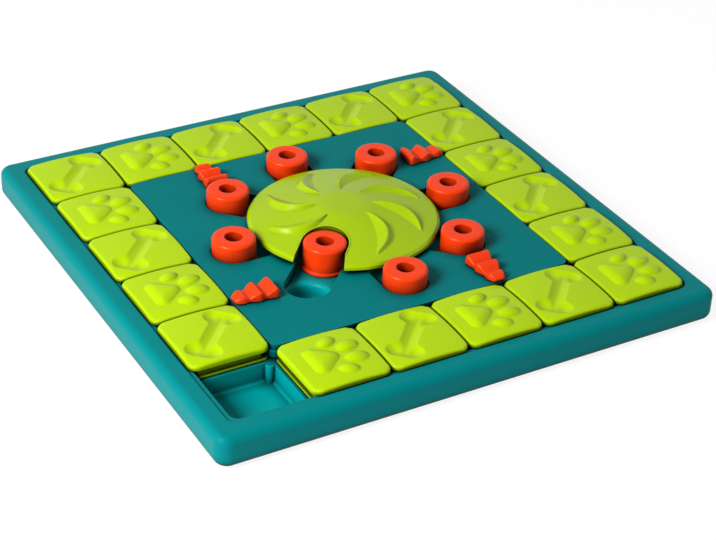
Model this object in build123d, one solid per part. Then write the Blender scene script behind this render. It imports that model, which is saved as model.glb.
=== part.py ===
"""A sliding-puzzle treat board for dogs: a square board with a ring of tiles, a swirl wheel, cups and locks.

Millimetres, +Z up. The origin is the centre of the board on the surface that its rubber feet stand on.
The front of the board is -Y, and the empty corner of the ring is the front left one.
"""

import math
import os

from build123d import *

os.makedirs("parts", exist_ok=True)

# ---- Driving dimensions ----
BOARD = 435.0  # outside width and depth
PITCH = 66.5  # from one tile to the next
RING = 6  # tiles along each side of the ring
TILE_TOP = 29.5  # the tiles' flat tops above the table
FOOT_PROUD = 1.0  # the feet stand out of the base by this

# Frame
FRAME_WALL = 3.0
FRAME_CORNER = 11.0  # outside corner radius, seen from above
RIM_ROUND = 6.8  # rounding of the rim's outer top edge
FRAME_CURL = 7.6  # rounding of its outer bottom edge
CURL_STEP = 4.0  # the hollow inside the frame widens at this height, behind the curl
CURL_STEP_IN = 213.0  # half width of the hollow there
FRAME_FOOT = 0.4  # the flat ring left inside that rounding
CURL_INNER = BOARD / 2 - FRAME_CURL - FRAME_FOOT  # half width of the opening that takes the tray
RIM_TOP = TILE_TOP - 1.7
RIM_INNER = 200.4  # half width of the step inside the rim
LEDGE_TOP = TILE_TOP - 3.3  # the ledge and the lip, and the hidden edge of the centre panel
LIP_INNER = 196.2  # half width of the opening that the tiles' lower blocks run along
LIP_UNDER = 21.0  # underside of the lip and of the centre panel

# Tray
WALL = 2.0
FLOOR = 2.3
BASE = FOOT_PROUD  # underside of the tray and frame
PIT_FLOOR = BASE + FLOOR
WALL_TOP = 18.9
PIT_OUTER = 197.0  # half width of the square that the pits' outer walls make
PIT_INNER = 135.25  # the same for their inner walls
PIT_CORNER = 6.0
CORNER_POST_R = 3.2  # round posts at the corner pits' inner corners
POST_R = 16.0  # centre post, which the wheel's stem turns in
RIB_REACH = 55.0  # ribs run from the post this far
PLATEAU = PIT_INNER - 3.0  # half width of the raised middle that carries the panel
SEAM_GAP = 0.4
SLIDE_GAP = 0.15  # under whatever slides or turns
TRAY_FLANGE = CURL_INNER - SEAM_GAP

# Tiles
CAP = 65.5
CAP_CORNER = 7.5
CAP_THICK = 2.8
GROOVE = 1.0  # height of the groove between a tile's cap and its block
BLOCK = 58.0
BLOCK_CORNER = 6.0
NECK = 55.0
GLIDE = 64.0
GLIDE_THICK = 1.6
GLIDE_UNDER = WALL_TOP + SLIDE_GAP
PAW_HEIGHT = 2.4
PAD_MIDDLE, PAD_TAPER, PAD_SUNK = -6.0, 0.72, 0.5
TOE_LONG, TOE_WIDE, TOE_TAPER = 9.4, 7.0, 0.6
BONE_DEPTH = 1.7

# Centre panel
PANEL = 272.0  # its lower part, which holds the glides down
PANEL_SEEN = 266.0  # its upper part, between the tiles' caps
PANEL_TOP = TILE_TOP + 1.0
PANEL_CORNER = 8.0
CHANNEL_TOP = LIP_UNDER + 2.8  # the cups' flanges run under this

# Cups and their slots
CUPS = 8
CUP_RING = 1.5 * PITCH  # from the wheel's centre to a cup over its bowl
CUP_PARKED = 0.8 * PITCH  # the same for the cup in the wheel's notch
CUP_R = 17.0
CUP_HOLE_R = 7.0
CUP_FLOOR = 3.0
CUP_TOP = TILE_TOP + 17.0
CUP_EDGE = 2.0  # bevel round the cup's top
FLANGE_R = 19.6
FLANGE_THICK = 2.2
FLANGE_UNDER = LIP_UNDER + SLIDE_GAP
SLOT_R = 18.6  # half width of a slot
CHANNEL_R = 21.2  # half width of the channel under it, for the flange
BOWL_R = 17.6
BOWL_FLOOR = 6.0
BOWL_WALL = 2.6

# Wheel
WHEEL_R = 79.0
WHEEL_UNDER = PANEL_TOP + 3.2
WHEEL_RIM_TOP = TILE_TOP + 8.2
WHEEL_HUB_TOP = TILE_TOP + 20.0
WHEEL_BEVEL = 1.4
HUB_R = 18.0
WHEEL_SKIN = 2.5
NOTCH_R = 19.3
NOTCH_FLARE = 6.0
WELL_R = CUP_PARKED + CUP_R + 1.8  # round well in the panel, which the parked cup turns in
STEM_R = 6.0
STEM_FIT = 0.1  # radial play of the stem in the tray's post
WHEEL_STEM_END = BASE + 4.8
STEM_SHOULDER_R = 9.0  # the stem's thicker upper part, which rests on the tray's post
EMPTY_PLACE = 225.0  # direction of the notch and of the empty corner, in degrees from +X
BLADE_START_R, BLADE_START_AT = 22.5, -20.0  # inner tip of one blade: radius and direction
BLADE_END_R, BLADE_END_AT = 67.5, -52.0
BLADE_HOLLOW, BLADE_CREST, BLADE_BULGE = 4.0, 13.5, 18.0  # bows of its two edges and its crest
BLADE_HEIGHT = 4.2
BLADE_SUNK = 1.6

# Locks
LOCK_SECTIONS = (  # from the inner end out: place, width at the foot, width at the top, height
    (96.0, 20.0, 18.5, 5.0),
    (98.2, 21.5, 18.0, 7.0),
    (110.5, 22.0, 19.5, 3.0),
    (113.8, 20.5, 16.5, 6.6),
    (124.5, 16.0, 13.0, 2.8),
    (127.5, 12.0, 8.5, 4.8),
    (133.5, 3.0, 2.0, 2.6),
)
LOCK_GAP = 0.3  # round everything of the lock that slides
NECK_START, NECK_END, NECK_W = 114.0, 124.0, 5.0
FOOT_END, FOOT_W = 126.0, 10.0
TONGUE_END, TONGUE_W = 135.0, 4.4
NECK_SLOT_START, NECK_SLOT_END, NECK_SLOT_W = 111.0, 130.5, 6.0
REBATE_START, REBATE_W, REBATE_HIGH = 110.0, 11.0, 2.3  # the recess under the panel that the foot runs in

# Fasteners and feet
WASHER_R, WASHER_THICK = 10.0, 1.6
SCREW_R, SCREW_BORE_R, SCREW_BOSS_R = 1.2, 1.3, 3.6
SCREW_HEAD_R, SCREW_HEAD_THICK, SCREW_LENGTH = 2.1, 1.2, 11.0
WHEEL_SCREW_HEAD_R, WHEEL_SCREW_HEAD_THICK, WHEEL_SCREW_LENGTH = 4.5, 1.8, 12.0
FOOT_R = 9.0

# Light faceting of small repeated rounds
CORNER_STEPS = 2
ROUND_SIDES = 20
SMALL_SIDES = 10
SCREW_SIDES = 6
WHEEL_SIDES = 60

CUP_NAMES = ("right", "back_right", "back", "back_left", "left", "front_left", "front", "front_right")
SCREW_OUT, SCREW_ASIDE = 205.3, 75.0  # the frame's screws: out from the middle, and along each side
SCREW_PLACES = [
    (sx * x, sy * y)
    for x, y in ((SCREW_OUT, SCREW_ASIDE), (SCREW_ASIDE, SCREW_OUT))
    for sx in (-1, 1)
    for sy in (-1, 1)
]
FOOT_REACH = 2.5 * PITCH
FOOT_PLACES = [(x * FOOT_REACH, y * FOOT_REACH) for x in (-1, 0, 1) for y in (-1, 0, 1) if x or y]


# ---- Helpers ----
def polar(radius, degrees):
    return (radius * math.cos(math.radians(degrees)), radius * math.sin(math.radians(degrees)))


def round_points(radius, sides=ROUND_SIDES):
    return [polar(radius, 360 * k / sides) for k in range(sides)]


def box_points(width, depth):
    return [(x * width / 2, y * depth / 2) for x, y in ((1, 1), (-1, 1), (-1, -1), (1, -1))]


def corner_points(width, depth, radius, steps=CORNER_STEPS):
    """A rectangle whose corners are rounded in a few flats, which keeps a repeated piece light."""
    points = []
    for quarter, (sx, sy) in enumerate([(1, 1), (-1, 1), (-1, -1), (1, -1)]):
        cx = sx * (width / 2 - radius)
        cy = sy * (depth / 2 - radius)
        for step in range(steps + 1):
            turn = math.radians(90 * quarter + 90 * step / steps)
            points.append((cx + radius * math.cos(turn), cy + radius * math.sin(turn)))
    return points


def corner_square(width, depth, radius, steps=CORNER_STEPS):
    return Polygon(*corner_points(width, depth, radius, steps), align=None)


def disc(radius, sides=ROUND_SIDES):
    return Polygon(*round_points(radius, sides), align=None)


def prism(sketch, low, high):
    """The sketch extruded between two heights."""
    return Pos(0, 0, low) * extrude(sketch, amount=high - low)


def skin(rings):
    """A solid with flat faces through rings of as many points, whose ends are a ring or a single point."""
    faces = [Face(Wire.make_polygon(ring, close=True)) for ring in (rings[0], rings[-1]) if len(ring) > 1]
    for low, high in zip(rings, rings[1:]):
        count = max(len(low), len(high))
        for k in range(count):
            corners = []
            for ring, at in ((low, k), (low, k + 1), (high, k + 1), (high, k)):
                point = ring[at % len(ring)]
                if point not in corners:
                    corners.append(point)
            flat = len(corners) == 3 or abs(flatness(*corners)) < 1e-6
            pieces = [corners] if flat else [corners[:3], [corners[0], *corners[2:]]]
            faces += [Face(Wire.make_polygon(piece, close=True)) for piece in pieces]
    return Part() + Solid(Shell(faces))


def flatness(a, b, c, d):
    """Zero where four points lie in one plane."""
    origin = Vector(*a)
    return (Vector(*b) - origin).cross(Vector(*c) - origin).dot(Vector(*d) - origin)


def frustum(low_points, low, high_points, high):
    """A straight-sided solid from one outline to another with as many corners."""
    return skin([[(x, y, low) for x, y in low_points], [(x, y, high) for x, y in high_points]])


def cell_centre(column, row):
    middle = (RING - 1) / 2
    return ((column - middle) * PITCH, (row - middle) * PITCH)


def ring_cells():
    """The ring's places, counter-clockwise from the empty front left corner."""
    last = RING - 1
    front = [(i, 0) for i in range(last)]
    right = [(last, i) for i in range(last)]
    back = [(last - i, last) for i in range(last)]
    left = [(0, last - i) for i in range(last)]
    return front + right + back + left


def save(shape, node):
    """Write one node; a group of separate solids stays a compound."""
    solids = shape.solids()
    shape = solids[0] if len(solids) == 1 else Compound(solids)
    shape.label = node
    export_step(shape, f"parts/{node}.step")


# ---- Frame ----
def frame_shell():
    """The rim: a rounded, hollow section run round a square, with bosses for the screws."""
    shell = prism(RectangleRounded(BOARD, BOARD, FRAME_CORNER), BASE, RIM_TOP)
    shell = fillet(shell.faces().sort_by(Axis.Z)[-1].edges(), RIM_ROUND)
    shell = fillet(shell.faces().sort_by(Axis.Z)[0].edges(), FRAME_CURL)
    shell -= prism(corner_square(2 * RIM_INNER, 2 * RIM_INNER, CAP_CORNER), LEDGE_TOP, RIM_TOP)
    shell -= prism(corner_square(2 * LIP_INNER, 2 * LIP_INNER, CAP_CORNER), BASE, LEDGE_TOP)
    glide_run = 2 * (PIT_OUTER + WALL + SEAM_GAP)
    inner_wall = glide_run + 2 * WALL
    shell -= prism(Rectangle(glide_run, glide_run), BASE, LIP_UNDER)
    under_rim = RIM_TOP - FRAME_WALL - 1.0
    curl_top = BASE + FRAME_CURL
    hollow = (
        (BASE, CURL_STEP, CURL_INNER),
        (CURL_STEP, curl_top, CURL_STEP_IN),
        (curl_top, under_rim, BOARD / 2 - FRAME_WALL),
    )
    for low, high, half in hollow:
        corner = FRAME_CORNER - (BOARD / 2 - half)
        cavity = corner_square(2 * half, 2 * half, corner, 2) - Rectangle(inner_wall, inner_wall)
        shell -= prism(cavity, low, high)
    shell -= prism(Rectangle(inner_wall, inner_wall), BASE, PIT_FLOOR)
    for x, y in SCREW_PLACES:
        boss = disc(SCREW_BOSS_R, SCREW_SIDES) - disc(SCREW_BORE_R, SCREW_SIDES)
        shell += Pos(x, y) * prism(boss, PIT_FLOOR, under_rim)
    return shell


# ---- Tray ----
def pit_outline(column, row):
    """One compartment: the corner pits are square, the others are longer along the ring."""
    x, y = cell_centre(column, row)
    along = PITCH / 2 - WALL / 2
    ends = (0, RING - 1)
    limits = []
    for at, here, other in ((x, column, row), (y, row, column)):
        if here not in ends:
            limits.append((at - along, at + along))
            continue
        inner = PIT_INNER - 0.5 if other in ends else PIT_INNER
        limits.append((inner, PIT_OUTER) if at > 0 else (-PIT_OUTER, -inner))
    (x0, x1), (y0, y1) = limits
    return Pos((x0 + x1) / 2, (y0 + y1) / 2) * corner_square(x1 - x0, y1 - y0, PIT_CORNER, 2)


def bowl_places():
    return [Pos(*polar(CUP_RING, 360 / CUPS * k), 0) for k in range(CUPS)]


def compartment_tray():
    """Twenty pits in a ring round a raised middle, which is hollow below and carries eight bowls."""
    flange = 2 * TRAY_FLANGE
    corner = FRAME_CORNER - (BOARD / 2 - TRAY_FLANGE)
    tray = prism(corner_square(flange, flange, corner), BASE, PIT_FLOOR)
    outside = 2 * (PIT_OUTER + WALL)
    tray += prism(Rectangle(outside, outside), PIT_FLOOR, WALL_TOP)
    tray += prism(corner_square(2 * PLATEAU, 2 * PLATEAU, PANEL_CORNER), WALL_TOP, LIP_UNDER)
    for cell in ring_cells():
        tray -= prism(pit_outline(*cell), PIT_FLOOR, WALL_TOP)
    post = PIT_INNER - 0.5
    for sx, sy in ((-1, -1), (1, -1), (1, 1), (-1, 1)):
        tray += Pos(sx * post, sy * post) * prism(disc(CORNER_POST_R, SMALL_SIDES), PIT_FLOOR, WALL_TOP)
    hollow = 2 * (PLATEAU - WALL)
    tray -= prism(Rectangle(hollow, hollow), BASE, LIP_UNDER - FLOOR)
    for place in bowl_places():
        tray += place * prism(disc(BOWL_R + BOWL_WALL, SMALL_SIDES), BASE, LIP_UNDER - FLOOR)
        tray -= place * frustum(round_points(BOWL_R - 1.5, 16), BOWL_FLOOR, round_points(BOWL_R, 16), LIP_UNDER)
    tray += prism(disc(POST_R, SMALL_SIDES), BASE, LIP_UNDER - FLOOR)
    for turn in (0, 90):
        tray += Rot(0, 0, turn) * prism(Rectangle(2 * RIB_REACH, FLOOR), BASE, LIP_UNDER - FLOOR)
    tray -= prism(Circle(STEM_R + STEM_FIT), BASE, LIP_UNDER)
    tray -= prism(disc(WASHER_R + 1.0, SMALL_SIDES), BASE, WHEEL_STEM_END + SLIDE_GAP)
    for x, y in FOOT_PLACES:
        tray -= Pos(x, y) * prism(disc(FOOT_R + 0.1, SMALL_SIDES), BASE, BASE + FOOT_PROUD)
    for x, y in SCREW_PLACES:
        tray -= Pos(x, y) * prism(disc(SCREW_BORE_R, SCREW_SIDES), BASE, PIT_FLOOR)
        tray -= Pos(x, y) * prism(disc(SCREW_HEAD_R + 0.15, SCREW_SIDES), BASE, BASE + SCREW_HEAD_THICK)
    return tray


# ---- Centre panel ----
def slot_outline(half_width, well, sides):
    """The round well and the eight radial slots, as cut through or under the panel."""
    outline = disc(well, 2 * sides)
    for k in range(CUPS):
        turn = Rot(0, 0, 360 / CUPS * k)
        outline += turn * Pos(CUP_RING / 2, 0) * Rectangle(CUP_RING, 2 * half_width)
        outline += turn * Pos(CUP_RING, 0) * disc(half_width, sides)
    return outline


def lock_places():
    """Each lock's placing: its X runs outwards, square to its side of the board."""
    sides = {"right": 0, "back": 90, "left": 180, "front": 270}
    return {side: Rot(0, 0, turn) * Pos(0, PITCH, 0) for side, turn in sides.items()}


def span(start, end, width):
    """A rectangle lying along X between two places."""
    return Pos((start + end) / 2, 0) * Rectangle(end - start, width)


def centre_panel():
    panel = prism(RectangleRounded(PANEL, PANEL, PANEL_CORNER), LIP_UNDER, LEDGE_TOP)
    panel += prism(RectangleRounded(PANEL_SEEN, PANEL_SEEN, PANEL_CORNER), LEDGE_TOP, PANEL_TOP)
    panel -= prism(slot_outline(SLOT_R, WELL_R, 20), LIP_UNDER, PANEL_TOP)
    panel -= prism(slot_outline(CHANNEL_R, WELL_R + 3.0, 12), LIP_UNDER, CHANNEL_TOP)
    neck_slot = span(NECK_SLOT_START, NECK_SLOT_END, NECK_SLOT_W)
    rebate = span(REBATE_START, PANEL / 2, REBATE_W)
    for place in lock_places().values():
        panel -= place * prism(neck_slot, LIP_UNDER, PANEL_TOP)
        panel -= place * prism(rebate, LIP_UNDER, LIP_UNDER + REBATE_HIGH)
    return panel


# ---- Wheel ----
def notch_outline(radius):
    """The wheel's bay: a round end over the parked cup, and walls that run out through the rim."""
    reach = WHEEL_R + 5 - CUP_PARKED
    bay = Pos(CUP_PARKED, 0) * disc(radius, 32)
    bay += Pos(CUP_PARKED + reach / 2, 0) * Rectangle(reach, 2 * radius)
    flare = [(CUP_PARKED + 8, radius - 1), (WHEEL_R + 5, radius - 1), (WHEEL_R + 5, radius + NOTCH_FLARE)]
    bay += Polygon(*flare, align=None)
    return Rot(0, 0, EMPTY_PLACE) * bay


def dome(radius, rim_top, hub_top, bevel, sides):
    """The wheel's outside or inside: a rim, a straight rise and a flat hub."""
    profile = [
        (radius, WHEEL_UNDER),
        (radius, rim_top - bevel),
        (radius - 2 * bevel, rim_top),
        (HUB_R, hub_top),
    ]
    return skin([[(x, y, height) for x, y in round_points(at, sides)] for at, height in profile])


def blade():
    """One curved blade: three-sided sections along a leaf, between a hollow and a bulging edge."""
    middle = (BLADE_START_AT + BLADE_END_AT) / 2
    start = Vector(*polar(BLADE_START_R, BLADE_START_AT - middle))
    end = Vector(*polar(BLADE_END_R, BLADE_END_AT - middle))
    along = end - start
    left = Vector(-along.Y, along.X).normalized()

    def point(share, bow, height):
        at = start + along * share + left * (bow * 4 * share * (1 - share))
        return (at.X, at.Y, height)

    sections = [[point(0, 0, 0)]]
    for share in (0.1, 0.25, 0.42, 0.6, 0.78, 0.92):
        crest = BLADE_HEIGHT * math.sqrt(4 * share * (1 - share))
        corners = [
            point(share, BLADE_HOLLOW, -BLADE_SUNK),
            point(share, BLADE_BULGE, -BLADE_SUNK),
            point(share, BLADE_CREST, crest),
        ]
        sections.append(corners)
    sections.append([point(1, 0, 0)])
    solid = skin(sections)
    slope = math.degrees(math.atan2(WHEEL_HUB_TOP - WHEEL_RIM_TOP, WHEEL_R - 2 * WHEEL_BEVEL - HUB_R))
    return Rot(0, 0, middle) * Pos(HUB_R, 0, WHEEL_HUB_TOP) * Rot(0, slope, 0) * Pos(-HUB_R, 0, 0) * solid


def wheel():
    """A thin dome with seven blades, a walled notch and the stem that it turns on."""
    shell = dome(WHEEL_R, WHEEL_RIM_TOP, WHEEL_HUB_TOP, WHEEL_BEVEL, WHEEL_SIDES)
    one = blade()
    for k in range(CUPS):
        if k != CUPS - 2:
            shell += Rot(0, 0, 360 / CUPS * k) * one
    inside = dome(WHEEL_R - WHEEL_SKIN, WHEEL_RIM_TOP - WHEEL_SKIN, WHEEL_HUB_TOP - WHEEL_SKIN - 0.4, 0.5, 24)
    inside -= prism(notch_outline(NOTCH_R + WHEEL_SKIN), WHEEL_UNDER, WHEEL_HUB_TOP)
    inside -= prism(disc(STEM_SHOULDER_R, 16), WHEEL_UNDER, WHEEL_HUB_TOP)
    shell -= inside
    shell -= prism(notch_outline(NOTCH_R), WHEEL_UNDER, WHEEL_HUB_TOP + BLADE_HEIGHT)
    stem = prism(Circle(STEM_R), WHEEL_STEM_END, WHEEL_UNDER)
    stem += prism(disc(STEM_SHOULDER_R, 16), LIP_UNDER + SLIDE_GAP, WHEEL_UNDER)
    stem -= prism(disc(SCREW_BORE_R, SCREW_SIDES), WHEEL_STEM_END, WHEEL_STEM_END + WHEEL_SCREW_LENGTH)
    return shell + stem


def wheel_washer():
    ring = disc(WASHER_R, SMALL_SIDES) - disc(SCREW_BORE_R, SCREW_SIDES)
    return prism(ring, WHEEL_STEM_END - WASHER_THICK, WHEEL_STEM_END)


def screw(head_r, head_thick, head_top, length):
    """A flat-headed screw driven upwards: its thread is left plain."""
    head = prism(disc(head_r, SCREW_SIDES), head_top - head_thick, head_top)
    return head + prism(disc(SCREW_R, SCREW_SIDES), head_top, head_top + length)


def wheel_screw():
    seat = WHEEL_STEM_END - WASHER_THICK
    return screw(WHEEL_SCREW_HEAD_R, WHEEL_SCREW_HEAD_THICK, seat, WHEEL_SCREW_LENGTH)


# ---- Cups ----
def cup(radius_out, turn):
    """One cup: a blind finger hole from above, and a flange that runs under the panel."""
    under, flange_top = FLANGE_UNDER, FLANGE_UNDER + FLANGE_THICK
    body = prism(disc(FLANGE_R, 16), under, flange_top)
    body += prism(disc(CUP_R), flange_top, CUP_TOP - CUP_EDGE)
    body += frustum(round_points(CUP_R), CUP_TOP - CUP_EDGE, round_points(CUP_R - CUP_EDGE), CUP_TOP)
    body -= prism(disc(CUP_HOLE_R, SMALL_SIDES), under + CUP_FLOOR, CUP_TOP)
    return Rot(0, 0, turn) * Pos(radius_out, 0) * body


def all_cups():
    cups = {}
    for k, side in enumerate(CUP_NAMES):
        turn = 360 / CUPS * k
        parked = turn == EMPTY_PLACE
        cups[f"cup_{side}"] = cup(CUP_PARKED if parked else CUP_RING, turn)
    return cups


# ---- Locks ----
def lock():
    """One lock: two ridges to push, a pointed nose, a neck in the panel's slot, a foot and a tongue."""
    low = PANEL_TOP + LOCK_GAP
    rings = []
    for x, foot_width, top_width, height in LOCK_SECTIONS:
        corners = [(foot_width, 0), (-foot_width, 0), (-top_width, height), (top_width, height)]
        rings.append([(x, width / 2, low + rise) for width, rise in corners])
    foot_low, foot_top = LIP_UNDER + LOCK_GAP, LIP_UNDER + REBATE_HIGH - LOCK_GAP
    body = skin(rings)
    body += prism(span(NECK_START, NECK_END, NECK_W), foot_top, low)
    body += prism(span(NECK_START, FOOT_END, FOOT_W), foot_low, foot_top)
    return body + prism(span(FOOT_END, TONGUE_END, TONGUE_W), foot_low, foot_top)


# ---- Tiles ----
def paw():
    """The paw's five pads, pointing along +X."""
    pad = [(-19, -13), (-14, -16), (-7, -14), (4, -6), (8, 0), (4, 6), (-7, 14), (-14, 16), (-19, 13)]
    toes = [(4.5, 19.0, 20), (17.0, 7.9, 8), (17.0, -7.9, -8), (4.5, -19.0, -20)]
    low, high = TILE_TOP - PAD_SUNK, TILE_TOP + PAW_HEIGHT
    small_pad = [(PAD_MIDDLE + PAD_TAPER * (x - PAD_MIDDLE), PAD_TAPER * y) for x, y in pad]
    pads = frustum(pad, low, small_pad, high)
    toe_low = [(TOE_LONG * x, TOE_WIDE * y) for x, y in round_points(1, 6)]
    toe_high = [(TOE_TAPER * x, TOE_TAPER * y) for x, y in toe_low]
    for x, y, turn in toes:
        pads += Pos(x, y) * Rot(0, 0, turn) * frustum(toe_low, low, toe_high, high)
    return pads


def bone():
    """The bone's outline, lying across the tile from corner to corner."""
    right_end = [(14, -4.8), (20, -12.5), (27, -14), (32, -9), (29, 0), (32, 9), (27, 14), (20, 12.5), (14, 4.8)]
    left_end = [(-x, -y) for x, y in right_end]
    return Rot(0, 0, 47) * Polygon(*right_end, *left_end, align=None)


def tile(kind, column, row):
    """One tile: a cap with a paw or bone, a groove, and the block that runs between frame and panel."""
    cap_low = TILE_TOP - CAP_THICK
    body = prism(corner_square(CAP, CAP, CAP_CORNER), cap_low, TILE_TOP)
    body += prism(Rectangle(NECK, NECK), cap_low - GROOVE, cap_low)
    block_low = GLIDE_UNDER + GLIDE_THICK
    body += prism(corner_square(BLOCK, BLOCK, BLOCK_CORNER, 1), block_low, cap_low - GROOVE)
    if kind == "bone":
        body -= prism(bone(), TILE_TOP - BONE_DEPTH, TILE_TOP)
    else:
        body += paw()
    return Pos(*cell_centre(column, row)) * body


def glide(column, row):
    plate = prism(Rectangle(GLIDE, GLIDE), GLIDE_UNDER, GLIDE_UNDER + GLIDE_THICK)
    return Pos(*cell_centre(column, row)) * plate


def tile_kinds():
    """The nineteen tiles in order: paws and bones take turns, but for two paws together at the corner."""
    kinds = {}
    for at, cell in enumerate(ring_cells()):
        turn = at if at < RING else at - 1
        if at:
            kinds[cell] = "paw" if turn % 2 else "bone"
    return kinds


# ---- Small parts under the board ----
def rubber_feet():
    foot = prism(disc(FOOT_R, SMALL_SIDES), 0, BASE + FOOT_PROUD)
    return Compound([Pos(x, y) * foot for x, y in FOOT_PLACES])


def frame_screws():
    one = screw(SCREW_HEAD_R, SCREW_HEAD_THICK, BASE + SCREW_HEAD_THICK, SCREW_LENGTH)
    return Compound([Pos(x, y) * one for x, y in SCREW_PLACES])


save(frame_shell(), "frame_shell")
save(compartment_tray(), "compartment_tray")
save(centre_panel(), "centre_panel")
save(wheel(), "wheel")
save(wheel_washer(), "wheel_washer")
save(wheel_screw(), "wheel_screw")
save(rubber_feet(), "rubber_feet")
save(frame_screws(), "frame_screws")
for node, shape in all_cups().items():
    save(shape, node)
for side, place in lock_places().items():
    save(place * lock(), f"lock_{side}")
for (column, row), kind in tile_kinds().items():
    save(tile(kind, column, row), f"{kind}_tile_{column}{row}")
    save(glide(column, row), f"glide_{column}{row}")
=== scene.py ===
# %% [markdown]
# # A sliding-puzzle treat board for dogs
# The board is all moulded plastic: a teal frame, tray and centre panel, nineteen lime tiles in a
# ring with one place left empty, a lime swirl wheel, and red-orange cups and locks. The packed
# model gives every piece's size, place and motion. This file gives the pieces their looks.

# %% Open the frame
import math

import bmesh
import bpy
import numpy as np
from mathutils import Matrix, Vector
from mathutils.geometry import tessellate_polygon


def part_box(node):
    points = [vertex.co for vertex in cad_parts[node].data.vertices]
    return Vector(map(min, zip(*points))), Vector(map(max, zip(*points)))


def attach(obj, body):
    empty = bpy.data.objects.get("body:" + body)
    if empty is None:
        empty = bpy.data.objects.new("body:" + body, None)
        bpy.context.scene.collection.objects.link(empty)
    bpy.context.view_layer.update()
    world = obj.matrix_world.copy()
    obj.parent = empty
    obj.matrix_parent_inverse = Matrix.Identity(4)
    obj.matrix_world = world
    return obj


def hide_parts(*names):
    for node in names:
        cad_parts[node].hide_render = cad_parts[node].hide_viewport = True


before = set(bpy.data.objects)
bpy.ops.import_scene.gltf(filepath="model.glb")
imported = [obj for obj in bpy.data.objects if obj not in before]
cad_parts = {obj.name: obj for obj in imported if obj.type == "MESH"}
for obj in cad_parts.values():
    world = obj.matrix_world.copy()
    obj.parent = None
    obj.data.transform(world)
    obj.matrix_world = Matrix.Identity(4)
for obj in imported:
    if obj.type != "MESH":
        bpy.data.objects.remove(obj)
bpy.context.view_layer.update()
MM = 0.001
scene = bpy.context.scene

# %% [markdown]
# ## Camera
# A long lens from the front left, looking down by about a third of a right angle. The place and
# turn are written as numbers, because the whole board has to sit in the view as it does in use.

# %% Camera
CAMERA_AT = (-0.68252, -1.18883, 0.85514)
CAMERA_TURN = (57.572, -1.884, -29.227)
CAMERA_LENS = 98.28
camera_data = bpy.data.cameras.new("camera")
camera_data.sensor_width = 36.0
camera_data.lens = CAMERA_LENS
camera = bpy.data.objects.new("camera", camera_data)
camera.location = CAMERA_AT
camera.rotation_euler = [math.radians(angle) for angle in CAMERA_TURN]
scene.collection.objects.link(camera)
scene.camera = camera
scene.view_settings.view_transform = "Standard"
print("camera at", CAMERA_AT, "lens", CAMERA_LENS)

# %% [markdown]
# ## Node trees written as sums
# Shader and geometry trees both use Math nodes. A small class wraps a socket, so that an
# expression such as `1 - mask * 0.5` adds those nodes by itself. Every other node comes from one
# method, which takes the node's type, its settings and what goes into its sockets.


# %% Sockets that can be added and multiplied
class Signal:
    """One output socket of a node tree, which works in sums as a number does."""

    def __init__(self, board, socket):
        self.board = board
        self.socket = socket

    def maths(self, operation, *values):
        return self.board.add("ShaderNodeMath", {"operation": operation}, dict(enumerate(values)))[0]

    def __add__(self, other):
        return self.maths("ADD", self, other)

    def __radd__(self, other):
        return self.maths("ADD", other, self)

    def __sub__(self, other):
        return self.maths("SUBTRACT", self, other)

    def __rsub__(self, other):
        return self.maths("SUBTRACT", other, self)

    def __mul__(self, other):
        return self.maths("MULTIPLY", self, other)

    def __rmul__(self, other):
        return self.maths("MULTIPLY", other, self)

    def clamped(self):
        return self.board.add("ShaderNodeClamp", {}, {"Value": self})[0]


class Made:
    """A node that was added; its outputs are read by name or number."""

    def __init__(self, board, node):
        self.board = board
        self.node = node

    def __getitem__(self, key):
        return Signal(self.board, self.node.outputs[key])


class Board:
    """A node tree to add nodes to."""

    def __init__(self, tree):
        self.tree = tree
        tree.nodes.clear()

    def add(self, kind, settings=None, values=None):
        node = self.tree.nodes.new(kind)
        for name, setting in (settings or {}).items():
            setattr(node, name, setting)
        for key, value in (values or {}).items():
            if isinstance(value, Signal):
                self.tree.links.new(value.socket, node.inputs[key])
            else:
                node.inputs[key].default_value = value
        return Made(self, node)

    def blend(self, share, low, high):
        """A colour between two colours."""
        settings = {"data_type": "RGBA"}
        return self.add("ShaderNodeMix", settings, {"Factor": share, 6: low, 7: high})[2]

    def noise(self, where, scale, detail):
        values = {"Vector": where, "Scale": scale, "Detail": detail}
        return self.add("ShaderNodeTexNoise", {}, values)["Fac"]


def new_material(name):
    """A material and its empty node tree."""
    material = bpy.data.materials.new(name)
    material.use_nodes = True
    return material, Board(material.node_tree)


def shade(board, values):
    """Ends a material in one Principled shader with these values."""
    shader = board.add("ShaderNodeBsdfPrincipled", {}, values)
    board.add("ShaderNodeOutputMaterial", {}, {"Surface": shader["BSDF"]})


print("node helpers are ready")

# %% [markdown]
# ## Colours
# Three colours of plastic make almost the whole toy. A colour is easiest to name as a screen shows
# it, but a shader works with linear light, so it is turned into that once, here. Tones of it are
# then plain multiples.


# %% Colours
def srgb(red, green, blue):
    """A colour as it is written on a screen, turned into the linear one that a shader takes."""

    def linear(value):
        share = value / 255
        return share / 12.92 if share <= 0.04045 else ((share + 0.055) / 1.055) ** 2.4

    return (linear(red), linear(green), linear(blue), 1.0)


def toned(colour, factor):
    return tuple(min(1.0, channel * factor) for channel in colour[:3]) + (1.0,)


TEAL = srgb(0, 128, 130)
LIME = srgb(180, 216, 0)
ORANGE = srgb(255, 64, 8)
print("teal in linear light:", [round(channel, 3) for channel in TEAL])
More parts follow.
